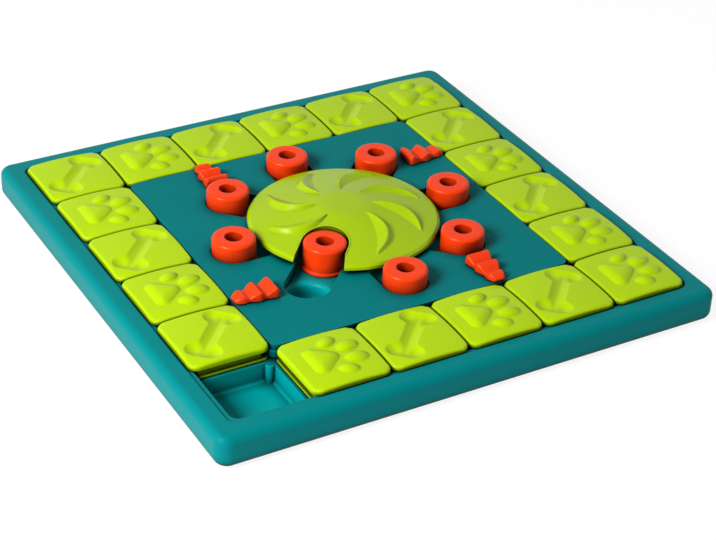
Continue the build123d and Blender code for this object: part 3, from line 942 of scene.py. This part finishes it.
def blade_height(x, y, turn):
    """How far one blade stands out of the dome at points of the plan."""
    start = np.array(polar(BLADE_START[0], BLADE_START[1] + turn))
    end = np.array(polar(BLADE_END[0], BLADE_END[1] + turn))
    along = end - start
    length = np.linalg.norm(along)
    along = along / length
    share = ((x - start[0]) * along[0] + (y - start[1]) * along[1]) / length
    aside = (x - start[0]) * -along[1] + (y - start[1]) * along[0]
    inside = np.clip(share, 0.0001, 0.9999)
    bow = 4 * inside * (1 - inside)
    crest = BLADE_HEIGHT * np.sqrt(bow)
    rise = crest * (aside - BLADE_HOLLOW * bow) / np.maximum((BLADE_CREST - BLADE_HOLLOW) * bow, 0.4)
    fall = crest * (BLADE_BULGE * bow - aside) / np.maximum((BLADE_BULGE - BLADE_CREST) * bow, 0.4)
    height = soft_least(rise, fall, 0.9)
    height = -soft_least(-height, np.zeros_like(height), 0.35)
    ends = np.clip((share + 0.01) / 0.03, 0, 1) * np.clip((1.01 - share) / 0.05, 0, 1)
    return np.maximum(height - 0.09, 0) * ends


def dome_height(radius):
    radii = [at for at, height in wheel_side]
    return np.interp(radius, radii, [height for at, height in wheel_side])


print("the dome falls from", WHEEL_HUB_TOP, "mm at the hub to", RIM_EDGE, "mm at the rim")

# %% [markdown]
# The dome's rings stand close together where the blades are, and numpy works out a whole ring at
# a time. The blade that would cross the bay is left out.

# %% Wheel dome
WHEEL_SIDES = 640
BLADE_TURNS = [turn for k, turn in enumerate(cup_turns) if k != CUPS - 2]
angles = np.radians(np.arange(WHEEL_SIDES) * 360 / WHEEL_SIDES)
flat_radii = np.concatenate([np.arange(1.5, 21, 2.4), np.arange(21.5, 71.5, 0.8), [73, 75]])
side_radii = [point for point in wheel_side if point[0] > 75.3]
dome = Moulding()
dome_rings = []
for radius in flat_radii:
    x, y = radius * np.cos(angles), radius * np.sin(angles)
    heights = np.full(WHEEL_SIDES, dome_height(radius))
    for turn in BLADE_TURNS:
        heights = heights + blade_height(x, y, turn)
    dome_rings.append(dome.ring(list(zip(x, y)), list(heights)))
for radius, height in side_radii:
    dome_rings.append(dome.ring(round_outline(radius, sides=WHEEL_SIDES)(), height))
under_rim_ring = [(WHEEL_R, RIM_EDGE), (WHEEL_R, WHEEL_UNDER), (WHEEL_R - 1.2, WHEEL_UNDER)]
under_rim_ring = soften(under_rim_ring, [0, 0.2, 0], 2)
for radius, height in under_rim_ring[1:]:
    dome_rings.append(dome.ring(round_outline(radius, sides=WHEEL_SIDES)(), height))
dome.skin(dome_rings)
dome.web(dome_rings[0])
dome.web(dome_rings[-1])
wheel_piece = dome.object("swirl_wheel")
print("dome faces:", len(wheel_piece.data.polygons))

# %% [markdown]
# The bay and the hollow inside are cut with booleans. The hollow stops short of the bay, which
# leaves a wall of even thickness for the parked cup to slide along. The stem is joined on below.

# %% Wheel bay and hollow
NOTCH_R = 19.3
NOTCH_FLARE = 5.0
NOTCH_STEPS = 32
STEM_R, STEM_NECK_R = 9.0, 6.0
STEM_LOW, STEM_HIGH = 5.8, 36.0


def bay_outline(grow=0.0):
    """The bay's plan: a round end over the parked cup and walls that run out through the rim."""
    radius = NOTCH_R + grow
    reach = WHEEL_R + 5
    flare_at = CUP_PARKED + 9
    arc = [polar(radius, 90 - 180 * k / NOTCH_STEPS) for k in range(NOTCH_STEPS + 1)]
    points = [(CUP_PARKED - x, y) for x, y in arc]
    points += [(flare_at, -radius), (reach, -radius)]
    points += [(reach, radius + NOTCH_FLARE), (flare_at, radius)]
    return turned_by(points, EMPTY_PLACE)


hollow_piece = Moulding()
hollow_profile = [
    (0, WHEEL_HUB_TOP - WHEEL_SKIN),
    (HUB_R, WHEEL_HUB_TOP - WHEEL_SKIN),
    (WHEEL_R - 5.5, WHEEL_RIM_TOP - WHEEL_SKIN),
    (WHEEL_R - WHEEL_SKIN, WHEEL_UNDER + 0.7),
    (WHEEL_R - WHEEL_SKIN, WHEEL_UNDER - 1),
    (0, WHEEL_UNDER - 1),
]
hollow_piece.lathe(soften(hollow_profile, [0, 6, 2, 1, 0, 0]), sides=96)
hollow_tool = hollow_piece.object("hollow")
cut(hollow_tool, slab(bay_outline(WHEEL_SKIN), WHEEL_UNDER - 3, WHEEL_HUB_TOP + 3))
cut(hollow_tool, slab(round_outline(STEM_R)(), WHEEL_UNDER - 3, WHEEL_HUB_TOP + 3))
cut(wheel_piece, hollow_tool)
cut(wheel_piece, slab(bay_outline(), WHEEL_UNDER - 3, WHEEL_HUB_TOP + 8))
stem = Moulding()
shoulder = LIP_UNDER + SLIDE_GAP
stem_side = [(0, STEM_HIGH), (STEM_R, STEM_HIGH), (STEM_R, shoulder)]
stem_side += [(STEM_NECK_R, shoulder), (STEM_NECK_R, STEM_LOW), (0, STEM_LOW)]
stem.lathe(stem_side)
cut(wheel_piece, stem.object("stem"), "UNION")
finish_piece(wheel_piece, "wheel", "wheel_plastic", wheel_plastic, "wheel", sharp=50)

# %% [markdown]
# A thin bead runs along the bay's top edge, where the mould leaves the wall a little proud. It
# follows the bay's outline and takes its height from the dome.


# %% Bay bead
def tube(path, radius, sides=10):
    """A closed round bar along a path of points, in millimetres."""
    bar = Moulding()
    rings = []
    points = [Vector(point) for point in path]
    for k, point in enumerate(points):
        ahead = points[min(k + 1, len(points) - 1)] - points[max(k - 1, 0)]
        across = ahead.cross(Vector((0, 0, 1))).normalized()
        upright = across.cross(ahead).normalized()
        ring = []
        for side in range(sides):
            x, z = polar(radius, 360 * side / sides)
            ring.append(point + across * x + upright * z)
        rings.append(bar.ring([corner.xy for corner in ring], [corner.z for corner in ring]))
    bar.skin(rings, capped=True)
    return bar


BEAD_R = 0.8
BEAD_STEP = 1.5
bay_points = bay_outline(0.35)
bay_path = [bay_points[-1], *bay_points[: NOTCH_STEPS + 2]]
bead_path = []
for (x0, y0), (x1, y1) in zip(bay_path, bay_path[1:]):
    count = max(1, int(math.hypot(x1 - x0, y1 - y0) / BEAD_STEP))
    for step in range(count):
        x, y = x0 + (x1 - x0) * step / count, y0 + (y1 - y0) * step / count
        if math.hypot(x, y) < WHEEL_R - 1.2:
            bead_path.append((x, y, float(dome_height(math.hypot(x, y))) - 0.25))
bead = tube(bead_path, BEAD_R).object("bay_bead")
finish_piece(bead, "wheel", "wheel_plastic", wheel_plastic, sharp=60)

# %% [markdown]
# ## One master, many copies
# Cups, locks, tiles and feet repeat. Each kind is made once as a master, and a Geometry Nodes tree
# sets copies of it. A moving copy belongs to a body of its own, so the tree is evaluated once for
# each, and its result becomes a plain mesh.


# %% A tree that sets one copy
def geometry_tree(name, inputs):
    """A new Geometry Nodes tree with named inputs, and what its input node gives."""
    tree = bpy.data.node_groups.new(name, "GeometryNodeTree")
    tree.interface.new_socket("Geometry", in_out="OUTPUT", socket_type="NodeSocketGeometry")
    for label, kind in inputs.items():
        tree.interface.new_socket(label, in_out="INPUT", socket_type=f"NodeSocket{kind}")
    board = Board(tree)
    return board, board.add("NodeGroupInput")


def master_mesh(board, given):
    """Every tree starts alike: the master's mesh, as it was made."""
    settings = {"transform_space": "ORIGINAL"}
    info = board.add("GeometryNodeObjectInfo", settings, {"Object": given["Master"]})
    return info["Geometry"]


def finish_tree(board, geometry, material):
    """Every tree ends alike: instances made real, then the material."""
    real = board.add("GeometryNodeRealizeInstances", {}, {"Geometry": geometry})["Geometry"]
    clad = {"Geometry": real, "Material": material}
    board.add("NodeGroupOutput", {}, {0: board.add("GeometryNodeSetMaterial", {}, clad)["Geometry"]})


copy_inputs = {"Master": "Object", "Place": "Vector", "Turn": "Rotation", "Finish": "Material"}
copy_board, given = geometry_tree("set one copy", copy_inputs)
moves = {"Translation": given["Place"], "Rotation": given["Turn"]}
moves["Geometry"] = master_mesh(copy_board, given)
moved = copy_board.add("GeometryNodeTransform", {}, moves)["Geometry"]
finish_tree(copy_board, moved, given["Finish"])


def grow_from(board, name, values):
    """Evaluates a tree with these inputs and gives its plain mesh as a new object."""
    item = bpy.data.objects.new(name, bpy.data.meshes.new(name))
    scene.collection.objects.link(item)
    modifier = item.modifiers.new("tree", "NODES")
    modifier.node_group = board.tree
    for socket in board.tree.interface.items_tree:
        if socket.in_out == "INPUT":
            modifier[socket.identifier] = values[socket.name]
    settle(item)
    return item


def copy_of(master, name, place, degrees, material):
    turn = (0.0, 0.0, math.radians(degrees))
    at = tuple(MM * value for value in place)
    values = {"Master": master, "Place": at, "Turn": turn, "Finish": material}
    return grow_from(copy_board, name, values)


print("copy tree has", len(copy_board.tree.nodes), "nodes")

# %% [markdown]
# ## Cups
# A cup is turned like a knob: soft top edge, a blind finger hole, and a flange that keeps it under
# the panel. One lathe profile makes it, from the hole's floor up, over and down to the flange.

# %% Cups
CUP_R = 17.9
CUP_TOP = TILE_TOP + 14.6
FLANGE_UNDER = LIP_UNDER + SLIDE_GAP
FLANGE_TOP = FLANGE_UNDER + 2.2
FLANGE_R = 19.6
HOLE_FLOOR = FLANGE_UNDER + 3.0
HOLE_FLOOR_R, HOLE_TOP_R = 6.8, 7.3
cup_profile = [
    ((0, HOLE_FLOOR), 0),
    ((HOLE_FLOOR_R, HOLE_FLOOR), 1.5),
    ((HOLE_TOP_R, CUP_TOP), 0.9),
    ((CUP_R - 0.2, CUP_TOP), 3.0),
    ((CUP_R, FLANGE_TOP), 1.6),
    ((FLANGE_R, FLANGE_TOP), 0.9),
    ((FLANGE_R, FLANGE_UNDER), 0.5),
    ((0, FLANGE_UNDER), 0),
]
cup = Moulding()
cup.lathe(soften_pairs(cup_profile, 7), sides=96)
cup_master = cup.object("cup_master")
smooth(cup_master, 60)
CUP_NAMES = ("right", "back_right", "back", "back_left", "left", "front_left", "front", "front_right")
for turn, side in zip(cup_turns, CUP_NAMES):
    out = CUP_PARKED if turn == EMPTY_PLACE else CUP_RING
    piece = copy_of(cup_master, f"knob_{side}", (*polar(out, turn), 0), turn, cup_plastic)
    dress(piece, f"cup_{side}", "cup_plastic", cup_plastic, f"cup_{side}")
bpy.data.objects.remove(cup_master)
print("cups:", len(CUP_NAMES), "with", len(piece.data.polygons), "faces each")

# %% [markdown]
# ## Locks
# A lock has three rounded rolls across it for a paw to push on, each lower and narrower than the
# one before, towards the tiles. Each row of the list is one cross-section: where it stands, its
# width below and above, and its height. Wide bevels soften the body that they make.

# %% Locks
LOCK_SECTIONS = (
    (97.2, 20.0, 18.0, 5.2),
    (99.4, 22.0, 20.0, 8.4),
    (103.6, 21.0, 19.0, 6.6),
    (108.2, 18.5, 17.0, 3.4),
    (110.6, 19.0, 17.5, 5.4),
    (113.6, 21.0, 18.5, 7.8),
    (117.8, 18.5, 16.5, 6.0),
    (121.4, 15.0, 13.5, 3.0),
    (123.8, 15.5, 13.0, 4.4),
    (127.0, 16.0, 12.5, 5.6),
    (130.6, 13.5, 10.5, 4.2),
    (133.2, 9.5, 7.0, 2.2),
)
LOCK_LOW = PANEL_TOP + 0.6
ribs = Moulding()
rings = []
for x, foot_width, top_width, height in LOCK_SECTIONS:
    corners = [(foot_width, 0), (-foot_width, 0), (-top_width, height), (top_width, height)]
    outline = [(x, width / 2) for width, rise in corners]
    rings.append(ribs.ring(outline, [LOCK_LOW + rise for width, rise in corners]))
ribs.skin(rings, capped=True)
lock_master = ribs.object("lock_master")
soft_edges(lock_master, 2.0, 5, 12)
settle(lock_master)
print("a lock's upper body has", len(lock_master.data.polygons), "faces")

# %% [markdown]
# Below the body are three plain blocks: the neck, the foot and the tongue. They take a finer
# bevel and are then joined to the body as one mesh, which is copied to the four sides.

# %% Lock bolts
FOOT_LOW, FOOT_HIGH = LIP_UNDER + 0.3, REBATE_TOP - 0.3
BOLT_BOXES = (
    (114.0, 124.0, 2.5, FOOT_HIGH - 0.2, LOCK_LOW + 1.0),
    (114.0, 126.0, 5.0, FOOT_LOW, FOOT_HIGH),
    (125.0, 135.0, 2.2, FOOT_LOW + 0.1, FOOT_HIGH - 0.1),
)
bolt = Moulding()
for near, far, half, low, high in BOLT_BOXES:
    bolt.box((near, -half, low), (far, half, high))
bolt_master = bolt.object("bolt_master")
soft_edges(bolt_master, 0.4, 2)
settle(bolt_master)
joined = bmesh.new()
joined.from_mesh(lock_master.data)
joined.from_mesh(bolt_master.data)
joined.to_mesh(lock_master.data)
joined.free()
bpy.data.objects.remove(bolt_master)
smooth(lock_master, 60)
for turn, side in ((0, "right"), (90, "back"), (180, "left"), (270, "front")):
    cos, sin = polar(PITCH, turn)
    piece = copy_of(lock_master, f"push_lock_{side}", (-sin, cos, 0), turn, lock_plastic)
    dress(piece, f"lock_{side}", "lock_plastic", lock_plastic, f"lock_{side}")
bpy.data.objects.remove(lock_master)
print("a lock has", len(piece.data.polygons), "faces")

# %% [markdown]
# ## Tiles
# A tile's cap carries a raised paw or a sunken bone. The cap's top is a grid whose lines crowd
# towards the edge, bent onto the rounded square, and lifted by distance rules: how far a point
# lies inside a pad, or inside the bone. The sides and the block below are swept rings.

# %% Relief rules
PAW_HEIGHT = 3.0
BONE_DEPTH = 2.9
CAP_CROWN, CAP_BOW, CAP_DROP = 3.2, 0.8, 1.0
PAW_TOES = ((2.8, 18.2, 24, 0.86), (15.0, 7.8, 8, 1), (15.0, -7.8, -8, 1), (2.8, -18.2, -24, 0.86))
TOE_SIZE = (9.6, 6.9)
PAD_TRIANGLE = ((-14.5, 10.0), (-14.5, -10.0), (-2.4, 0.0))
PAD_ROUND = 6.4
BONE_TURN = 47
BONE_LOBES = ((22.5, 6.8), (22.5, -6.8), (-22.5, 6.8), (-22.5, -6.8))
LOBE_R = 8.0
SHAFT_R = 6.8
TROUGH_R = 9.0


def to_segment(x, y, start, end):
    """The distance of points to a line from start to end."""
    ax, ay = end[0] - start[0], end[1] - start[1]
    along = np.clip(((x - start[0]) * ax + (y - start[1]) * ay) / (ax * ax + ay * ay), 0, 1)
    return np.hypot(x - start[0] - along * ax, y - start[1] - along * ay)


def in_triangle(x, y, corners_of):
    """The distance outside a triangle, or less than zero inside it."""
    sides = list(zip(corners_of, corners_of[1:] + corners_of[:1]))
    away = np.min([to_segment(x, y, start, end) for start, end in sides], axis=0)
    crossings = [(b[0] - a[0]) * (y - a[1]) - (b[1] - a[1]) * (x - a[0]) for a, b in sides]
    inside = np.all(np.array(crossings) >= 0, axis=0) | np.all(np.array(crossings) <= 0, axis=0)
    return np.where(inside, -away, away)


def paw_relief(x, y):
    """Five pillows: each climbs from a soft crease and is round on top."""
    share = np.clip((PAD_ROUND - in_triangle(x, y, PAD_TRIANGLE)) / (1.35 * PAD_ROUND), 0, 1)
    height = (share * (2 - share)) ** 0.8
    for at_x, at_y, turn, size in PAW_TOES:
        cos, sin = polar(size, turn)
        along = ((x - at_x) * cos + (y - at_y) * sin) / size**2 / TOE_SIZE[0]
        across = ((y - at_y) * cos - (x - at_x) * sin) / size**2 / TOE_SIZE[1]
        toe = np.clip(1 - along**2 - across**2, 0, 1) ** 0.75
        height = np.maximum(height, toe)
    return PAW_HEIGHT * height


def bone_relief(x, y):
    """A round-bottomed trough: a shaft with two lobes at each end, melted together."""
    cos, sin = polar(1.0, BONE_TURN)
    along, across = x * cos + y * sin, y * cos - x * sin
    shapes = [SHAFT_R - to_segment(along, across, (-23.0, 0), (23.0, 0))]
    shapes += [LOBE_R - np.hypot(along - at_x, across - at_y) for at_x, at_y in BONE_LOBES]
    depth = shapes[0]
    for shape in shapes[1:]:
        depth = -soft_least(-depth, -shape, 5.0)
    share = np.clip(depth / TROUGH_R, 0, 1)
    return -BONE_DEPTH * share * (2 - share)


middle = np.zeros(1)
print("at a cap's middle:", paw_relief(middle, middle), "or", bone_relief(middle, middle), "mm")

# %% [markdown]
# The grid is worked out as two arrays, so that one line of numpy moves every point. The border of
# the grid is then read off in order, and the side profile is swept down from it. Neither kind of
# tile has a seam between its top and its side.

# %% Tile master
CAP_HALF = 32.75
CAP_UNDER = TILE_TOP - 2.8
EDGE_ROUND = 2.2
BLOCK_TOP = CAP_UNDER - 1.0
BLOCK_LOW = WALL_TOP + SLIDE_GAP + 1.6
BLOCK_CORNER = 5.2
GROOVE_DEEP, BLOCK_INSET, BLOCK_HOLLOW = 5.2, 3.75, 7.0


def cap_plan(u, v, half, radius):
    """Bends a square grid onto a rounded square: whole inside, turned to arcs in the corners."""
    x, y = u * half, v * half
    inner = half - radius
    over_x, over_y = np.maximum(np.abs(x) - inner, 0), np.maximum(np.abs(y) - inner, 0)
    reach = np.hypot(over_x, over_y)
    scale_by = np.where(reach > 1e-9, np.maximum(over_x, over_y) / np.maximum(reach, 1e-9), 1)
    bent_x = np.where(over_x > 0, np.sign(x) * (inner + over_x * scale_by), x)
    bent_y = np.where(over_y > 0, np.sign(y) * (inner + over_y * scale_by), y)
    both = (over_x > 0) & (over_y > 0)
    return np.where(both, bent_x, x), np.where(both, bent_y, y)


def inside_depth(x, y, half, radius):
    """How far a point lies inside a rounded square."""
    inner = half - radius
    over_x, over_y = np.abs(x) - inner, np.abs(y) - inner
    outside = np.hypot(np.maximum(over_x, 0), np.maximum(over_y, 0))
    return radius - outside - np.minimum(np.maximum(over_x, over_y), 0)


def tile_master(relief, name):
    edge_lines = np.array([0, 0.12, 0.35, 0.7, 1.15, 1.7, 2.3, 3.0])
    middle_lines = np.linspace(3.7, 2 * CAP_HALF - 3.7, 80)
    lines = np.concatenate([edge_lines, middle_lines, 2 * CAP_HALF - edge_lines[::-1]]) / CAP_HALF - 1
    u, v = np.meshgrid(lines, lines, indexing="ij")
    x, y = cap_plan(u, v, CAP_HALF, CAP_CORNER)
    depth = np.clip(inside_depth(x, y, CAP_HALF, CAP_CORNER), 0, EDGE_ROUND)
    drop = EDGE_ROUND - np.sqrt(np.maximum(EDGE_ROUND**2 - (EDGE_ROUND - depth) ** 2, 0))
    crown = CAP_CROWN - CAP_BOW * (u**2 + v**2) - CAP_DROP * u**2 * v**2
    height = TILE_TOP - drop + crown + relief(x, y)
    count = len(lines)
    block = Moulding()
    block.points = [tuple(map(float, point)) for point in zip(x.ravel(), y.ravel(), height.ravel())]
    for i in range(count - 1):
        for j in range(count - 1):
            at = i * count + j
            block.faces.append((at, at + count, at + count + 1, at + 1))
    last = count - 1
    border = [i * count for i in range(last)] + [last * count + j for j in range(last)]
    border += [(last - i) * count + last for i in range(last)] + [last - j for j in range(last)]
    edge_u, edge_v = u.ravel()[border], v.ravel()[border]

    def outline(grow):
        half, radius = CAP_HALF + grow, CAP_CORNER + grow
        bent = cap_plan(edge_u, edge_v, half, max(radius, BLOCK_CORNER))
        return list(zip(map(float, bent[0]), map(float, bent[1])))

    side = soften(
        [
            (0, TILE_TOP - EDGE_ROUND),
            (0, CAP_UNDER),
            (-GROOVE_DEEP, CAP_UNDER),
            (-GROOVE_DEEP, BLOCK_TOP),
            (-BLOCK_INSET, BLOCK_TOP),
            (-BLOCK_INSET, BLOCK_LOW),
            (-BLOCK_HOLLOW, BLOCK_LOW),
        ],
        [0, 0.5, 0.2, 0.2, 0.5, 0, 0],
        3,
    )
    first, bottom = block.sweep(outline, side)
    block.bridge(border, first)
    block.web(bottom)
    made = block.object(name)
    smooth(made, 60)
    return made


masters = {"paw": tile_master(paw_relief, "paw_master")}
masters["bone"] = tile_master(bone_relief, "bone_master")
print("a tile has", len(masters["paw"].data.polygons), "faces")

# %% [markdown]
# Under each tile's block lies its glide, a thin plate that runs beneath the frame's lip and the
# panel's edge. A tile and its glide make one body.

# %% Tiles on the ring
GLIDE_HALF, GLIDE_CORNER, GLIDE_THICK = 32.0, 4.5, 1.6
plate = Moulding()
plate_side = [(-3, 0), (0, 0), (0, GLIDE_THICK), (-3, GLIDE_THICK)]
plate_side = soften(plate_side, [0, 0.4, 0.4, 0], 3)
glide_plan = box_outline(GLIDE_HALF, GLIDE_HALF, GLIDE_CORNER)
plate_foot, plate_top = plate.sweep(glide_plan, plate_side)
plate.web(plate_foot)
plate.web(plate_top)
glide_master = plate.object("glide_master")
smooth(glide_master)


def tile_kind(at):
    """Paws and bones take turns, but for two paws together at the front right corner."""
    turn = at if at < RING else at - 1
    return "paw" if turn % 2 else "bone"


for at, (column, row) in enumerate(ring_cells()):
    if at == 0:
        continue
    kind = tile_kind(at)
    centre = cell_centre(column, row)
    body = f"tile_{column}{row}"
    piece = copy_of(masters[kind], f"{kind}_cap_{column}{row}", (*centre, 0), 0, tile_plastic)
    dress(piece, body, "tile_plastic", tile_plastic, f"{kind}_tile_{column}{row}")
    under = (*centre, WALL_TOP + SLIDE_GAP)
    piece = copy_of(glide_master, f"runner_{column}{row}", under, 0, glide_plastic)
    dress(piece, body, "glide_plastic", glide_plastic, f"glide_{column}{row}")
for master in (*masters.values(), glide_master):
    bpy.data.objects.remove(master)
print("tiles:", len(ring_cells()) - 1)

# %% [markdown]
# ## Feet
# The board stands on eight rubber feet, each a little hollow below. A tree instances one master on
# the points of a three by three grid, less the point in its middle.

# %% Feet
FOOT_HOLLOW_R, FOOT_RING_R = 5.5, 6.2
FOOT_HOLLOW, FOOT_THICK = 0.35, 2.0
foot_side = [
    ((0, FOOT_HOLLOW), 0),
    ((FOOT_HOLLOW_R, FOOT_HOLLOW), 0.4),
    ((FOOT_RING_R, 0), 0.4),
    ((FOOT_R, 0), 0.6),
    ((FOOT_R, FOOT_THICK), 0),
    ((0, FOOT_THICK), 0),
]
foot = Moulding()
foot.lathe(soften_pairs(foot_side, 3), sides=48)
foot_master = foot.object("foot_master")
smooth(foot_master)
foot_inputs = {"Master": "Object", "Reach": "Float", "Finish": "Material"}
foot_board, given = geometry_tree("feet", foot_inputs)
width = given["Reach"] * 2.0
span = {"Size X": width, "Size Y": width, "Vertices X": 3, "Vertices Y": 3}
grid = foot_board.add("GeometryNodeMeshGrid", {}, span)
number = foot_board.add("GeometryNodeInputIndex")["Index"]
is_equal = {"data_type": "INT", "operation": "EQUAL"}
middle = foot_board.add("FunctionNodeCompare", is_equal, {2: number, 3: 4})
kept = {"Geometry": grid["Mesh"], "Selection": middle["Result"]}
by_point = {"domain": "POINT"}
rim_points = foot_board.add("GeometryNodeDeleteGeometry", by_point, kept)["Geometry"]
set_feet = {"Points": rim_points, "Instance": master_mesh(foot_board, given)}
feet = foot_board.add("GeometryNodeInstanceOnPoints", {}, set_feet)["Instances"]
finish_tree(foot_board, feet, given["Finish"])
foot_values = {"Master": foot_master, "Reach": 2.5 * PITCH * MM, "Finish": foot_rubber}
feet_piece = grow_from(foot_board, "feet", foot_values)
dress(feet_piece, "board", "foot_rubber", foot_rubber, "rubber_feet")
bpy.data.objects.remove(foot_master)
print("feet faces:", len(feet_piece.data.polygons))

# %% [markdown]
# ## Screws
# Eight screws close the board from below, and a larger one holds the wheel's stem. All have a flat
# head with a crossed recess. The tree sets two screws along one side of the board, and then turns
# that pair round the board four times.

# %% Screws
RECESS_HALF = 0.4


def screw_master(head_r, head_low, head_high, length):
    """A flat-headed screw with a crossed recess, head down."""
    turned = Moulding()
    shank_end = head_high + length
    profile = [((0, head_low), 0), ((head_r, head_low), 0.4), ((head_r, head_high), 0.2)]
    profile += [((SCREW_SHANK_R, head_high), 0), ((SCREW_SHANK_R, shank_end - 2), 0)]
    profile += [((0.4, shank_end), 0), ((0, shank_end), 0)]
    turned.lathe(soften_pairs(profile, 3), sides=32)
    made = turned.object("screw_master")
    half = head_r * 0.62
    for turn in (0, 90):
        arm = Moulding()
        arm.box((-half, -RECESS_HALF, head_low - 1), (half, RECESS_HALF, head_low + 2 * RECESS_HALF))
        tool = arm.object("tool")
        tool.data.transform(Matrix.Rotation(math.radians(turn), 4, "Z"))
        cut(made, tool)
    smooth(made)
    return made


SCREW_LENGTH = 11.0
frame_screw = screw_master(SCREW_HEAD_R, BASE, BASE + SCREW_HEAD_THICK, SCREW_LENGTH)
screw_inputs = {"Master": "Object", "Out": "Float", "Aside": "Float", "Sides": "Int"}
screw_board, given = geometry_tree("screws", {**screw_inputs, "Finish": "Material"})
first_at = {"X": given["Out"], "Y": given["Aside"] * -1.0, "Z": 0.0}
next_by = {"X": 0.0, "Y": given["Aside"] * 2.0, "Z": 0.0}
start = screw_board.add("ShaderNodeCombineXYZ", {}, first_at)[0]
step = screw_board.add("ShaderNodeCombineXYZ", {}, next_by)[0]
line = {"Count": 2, "Start Location": start, "Offset": step}
pair = screw_board.add("GeometryNodeMeshLine", {}, line)["Mesh"]
set_pair = {"Points": pair, "Instance": master_mesh(screw_board, given)}
two = screw_board.add("GeometryNodeInstanceOnPoints", {}, set_pair)["Instances"]
sides = {"Geometry": two, "Amount": given["Sides"]}
repeated = screw_board.add("GeometryNodeDuplicateElements", {"domain": "INSTANCE"}, sides)
angle = repeated["Duplicate Index"] * (math.pi / 2)
quarter = screw_board.add("ShaderNodeCombineXYZ", {}, {"Z": angle})[0]
turned_round = {"Instances": repeated["Geometry"], "Rotation": quarter, "Local Space": False}
ringed = screw_board.add("GeometryNodeRotateInstances", {}, turned_round)["Instances"]
finish_tree(screw_board, ringed, given["Finish"])
screw_values = {"Master": frame_screw, "Out": SCREW_OUT * MM, "Aside": SCREW_ASIDE * MM}
screw_values.update({"Sides": 4, "Finish": screw_steel})
screws_piece = grow_from(screw_board, "case_screws", screw_values)
dress(screws_piece, "board", "screw_steel", screw_steel, "frame_screws")
bpy.data.objects.remove(frame_screw)
print("screw faces:", len(screws_piece.data.polygons))

# %% [markdown]
# The wheel's own screw and washer turn with it, so they ride on its body.

# %% Wheel screw and washer
WASHER_R, WASHER_WIDTH = 10.0, 8.4
WASHER_LOW, WASHER_HIGH = 4.2, STEM_LOW
WHEEL_SCREW_R, WHEEL_SCREW_LOW, WHEEL_SCREW_LENGTH = 4.5, 2.4, 12.0
middle_screw = screw_master(WHEEL_SCREW_R, WHEEL_SCREW_LOW, WASHER_LOW, WHEEL_SCREW_LENGTH)
middle_screw.name = "centre_screw"
dress(middle_screw, "wheel", "screw_steel", screw_steel, "wheel_screw")
washer = Moulding()
washer_side = [(0, WASHER_LOW), (0, WASHER_HIGH)]
washer_side += [(-WASHER_WIDTH, WASHER_HIGH), (-WASHER_WIDTH, WASHER_LOW)]
washer_side = soften(washer_side, [0.3, 0.3, 0.2, 0.2], 3, closed=True)
washer.sweep(round_outline(WASHER_R, sides=48), washer_side, closed=True)
finish_piece(washer.object("washer"), "wheel", "screw_steel", screw_steel, "wheel_washer")

# %% [markdown]
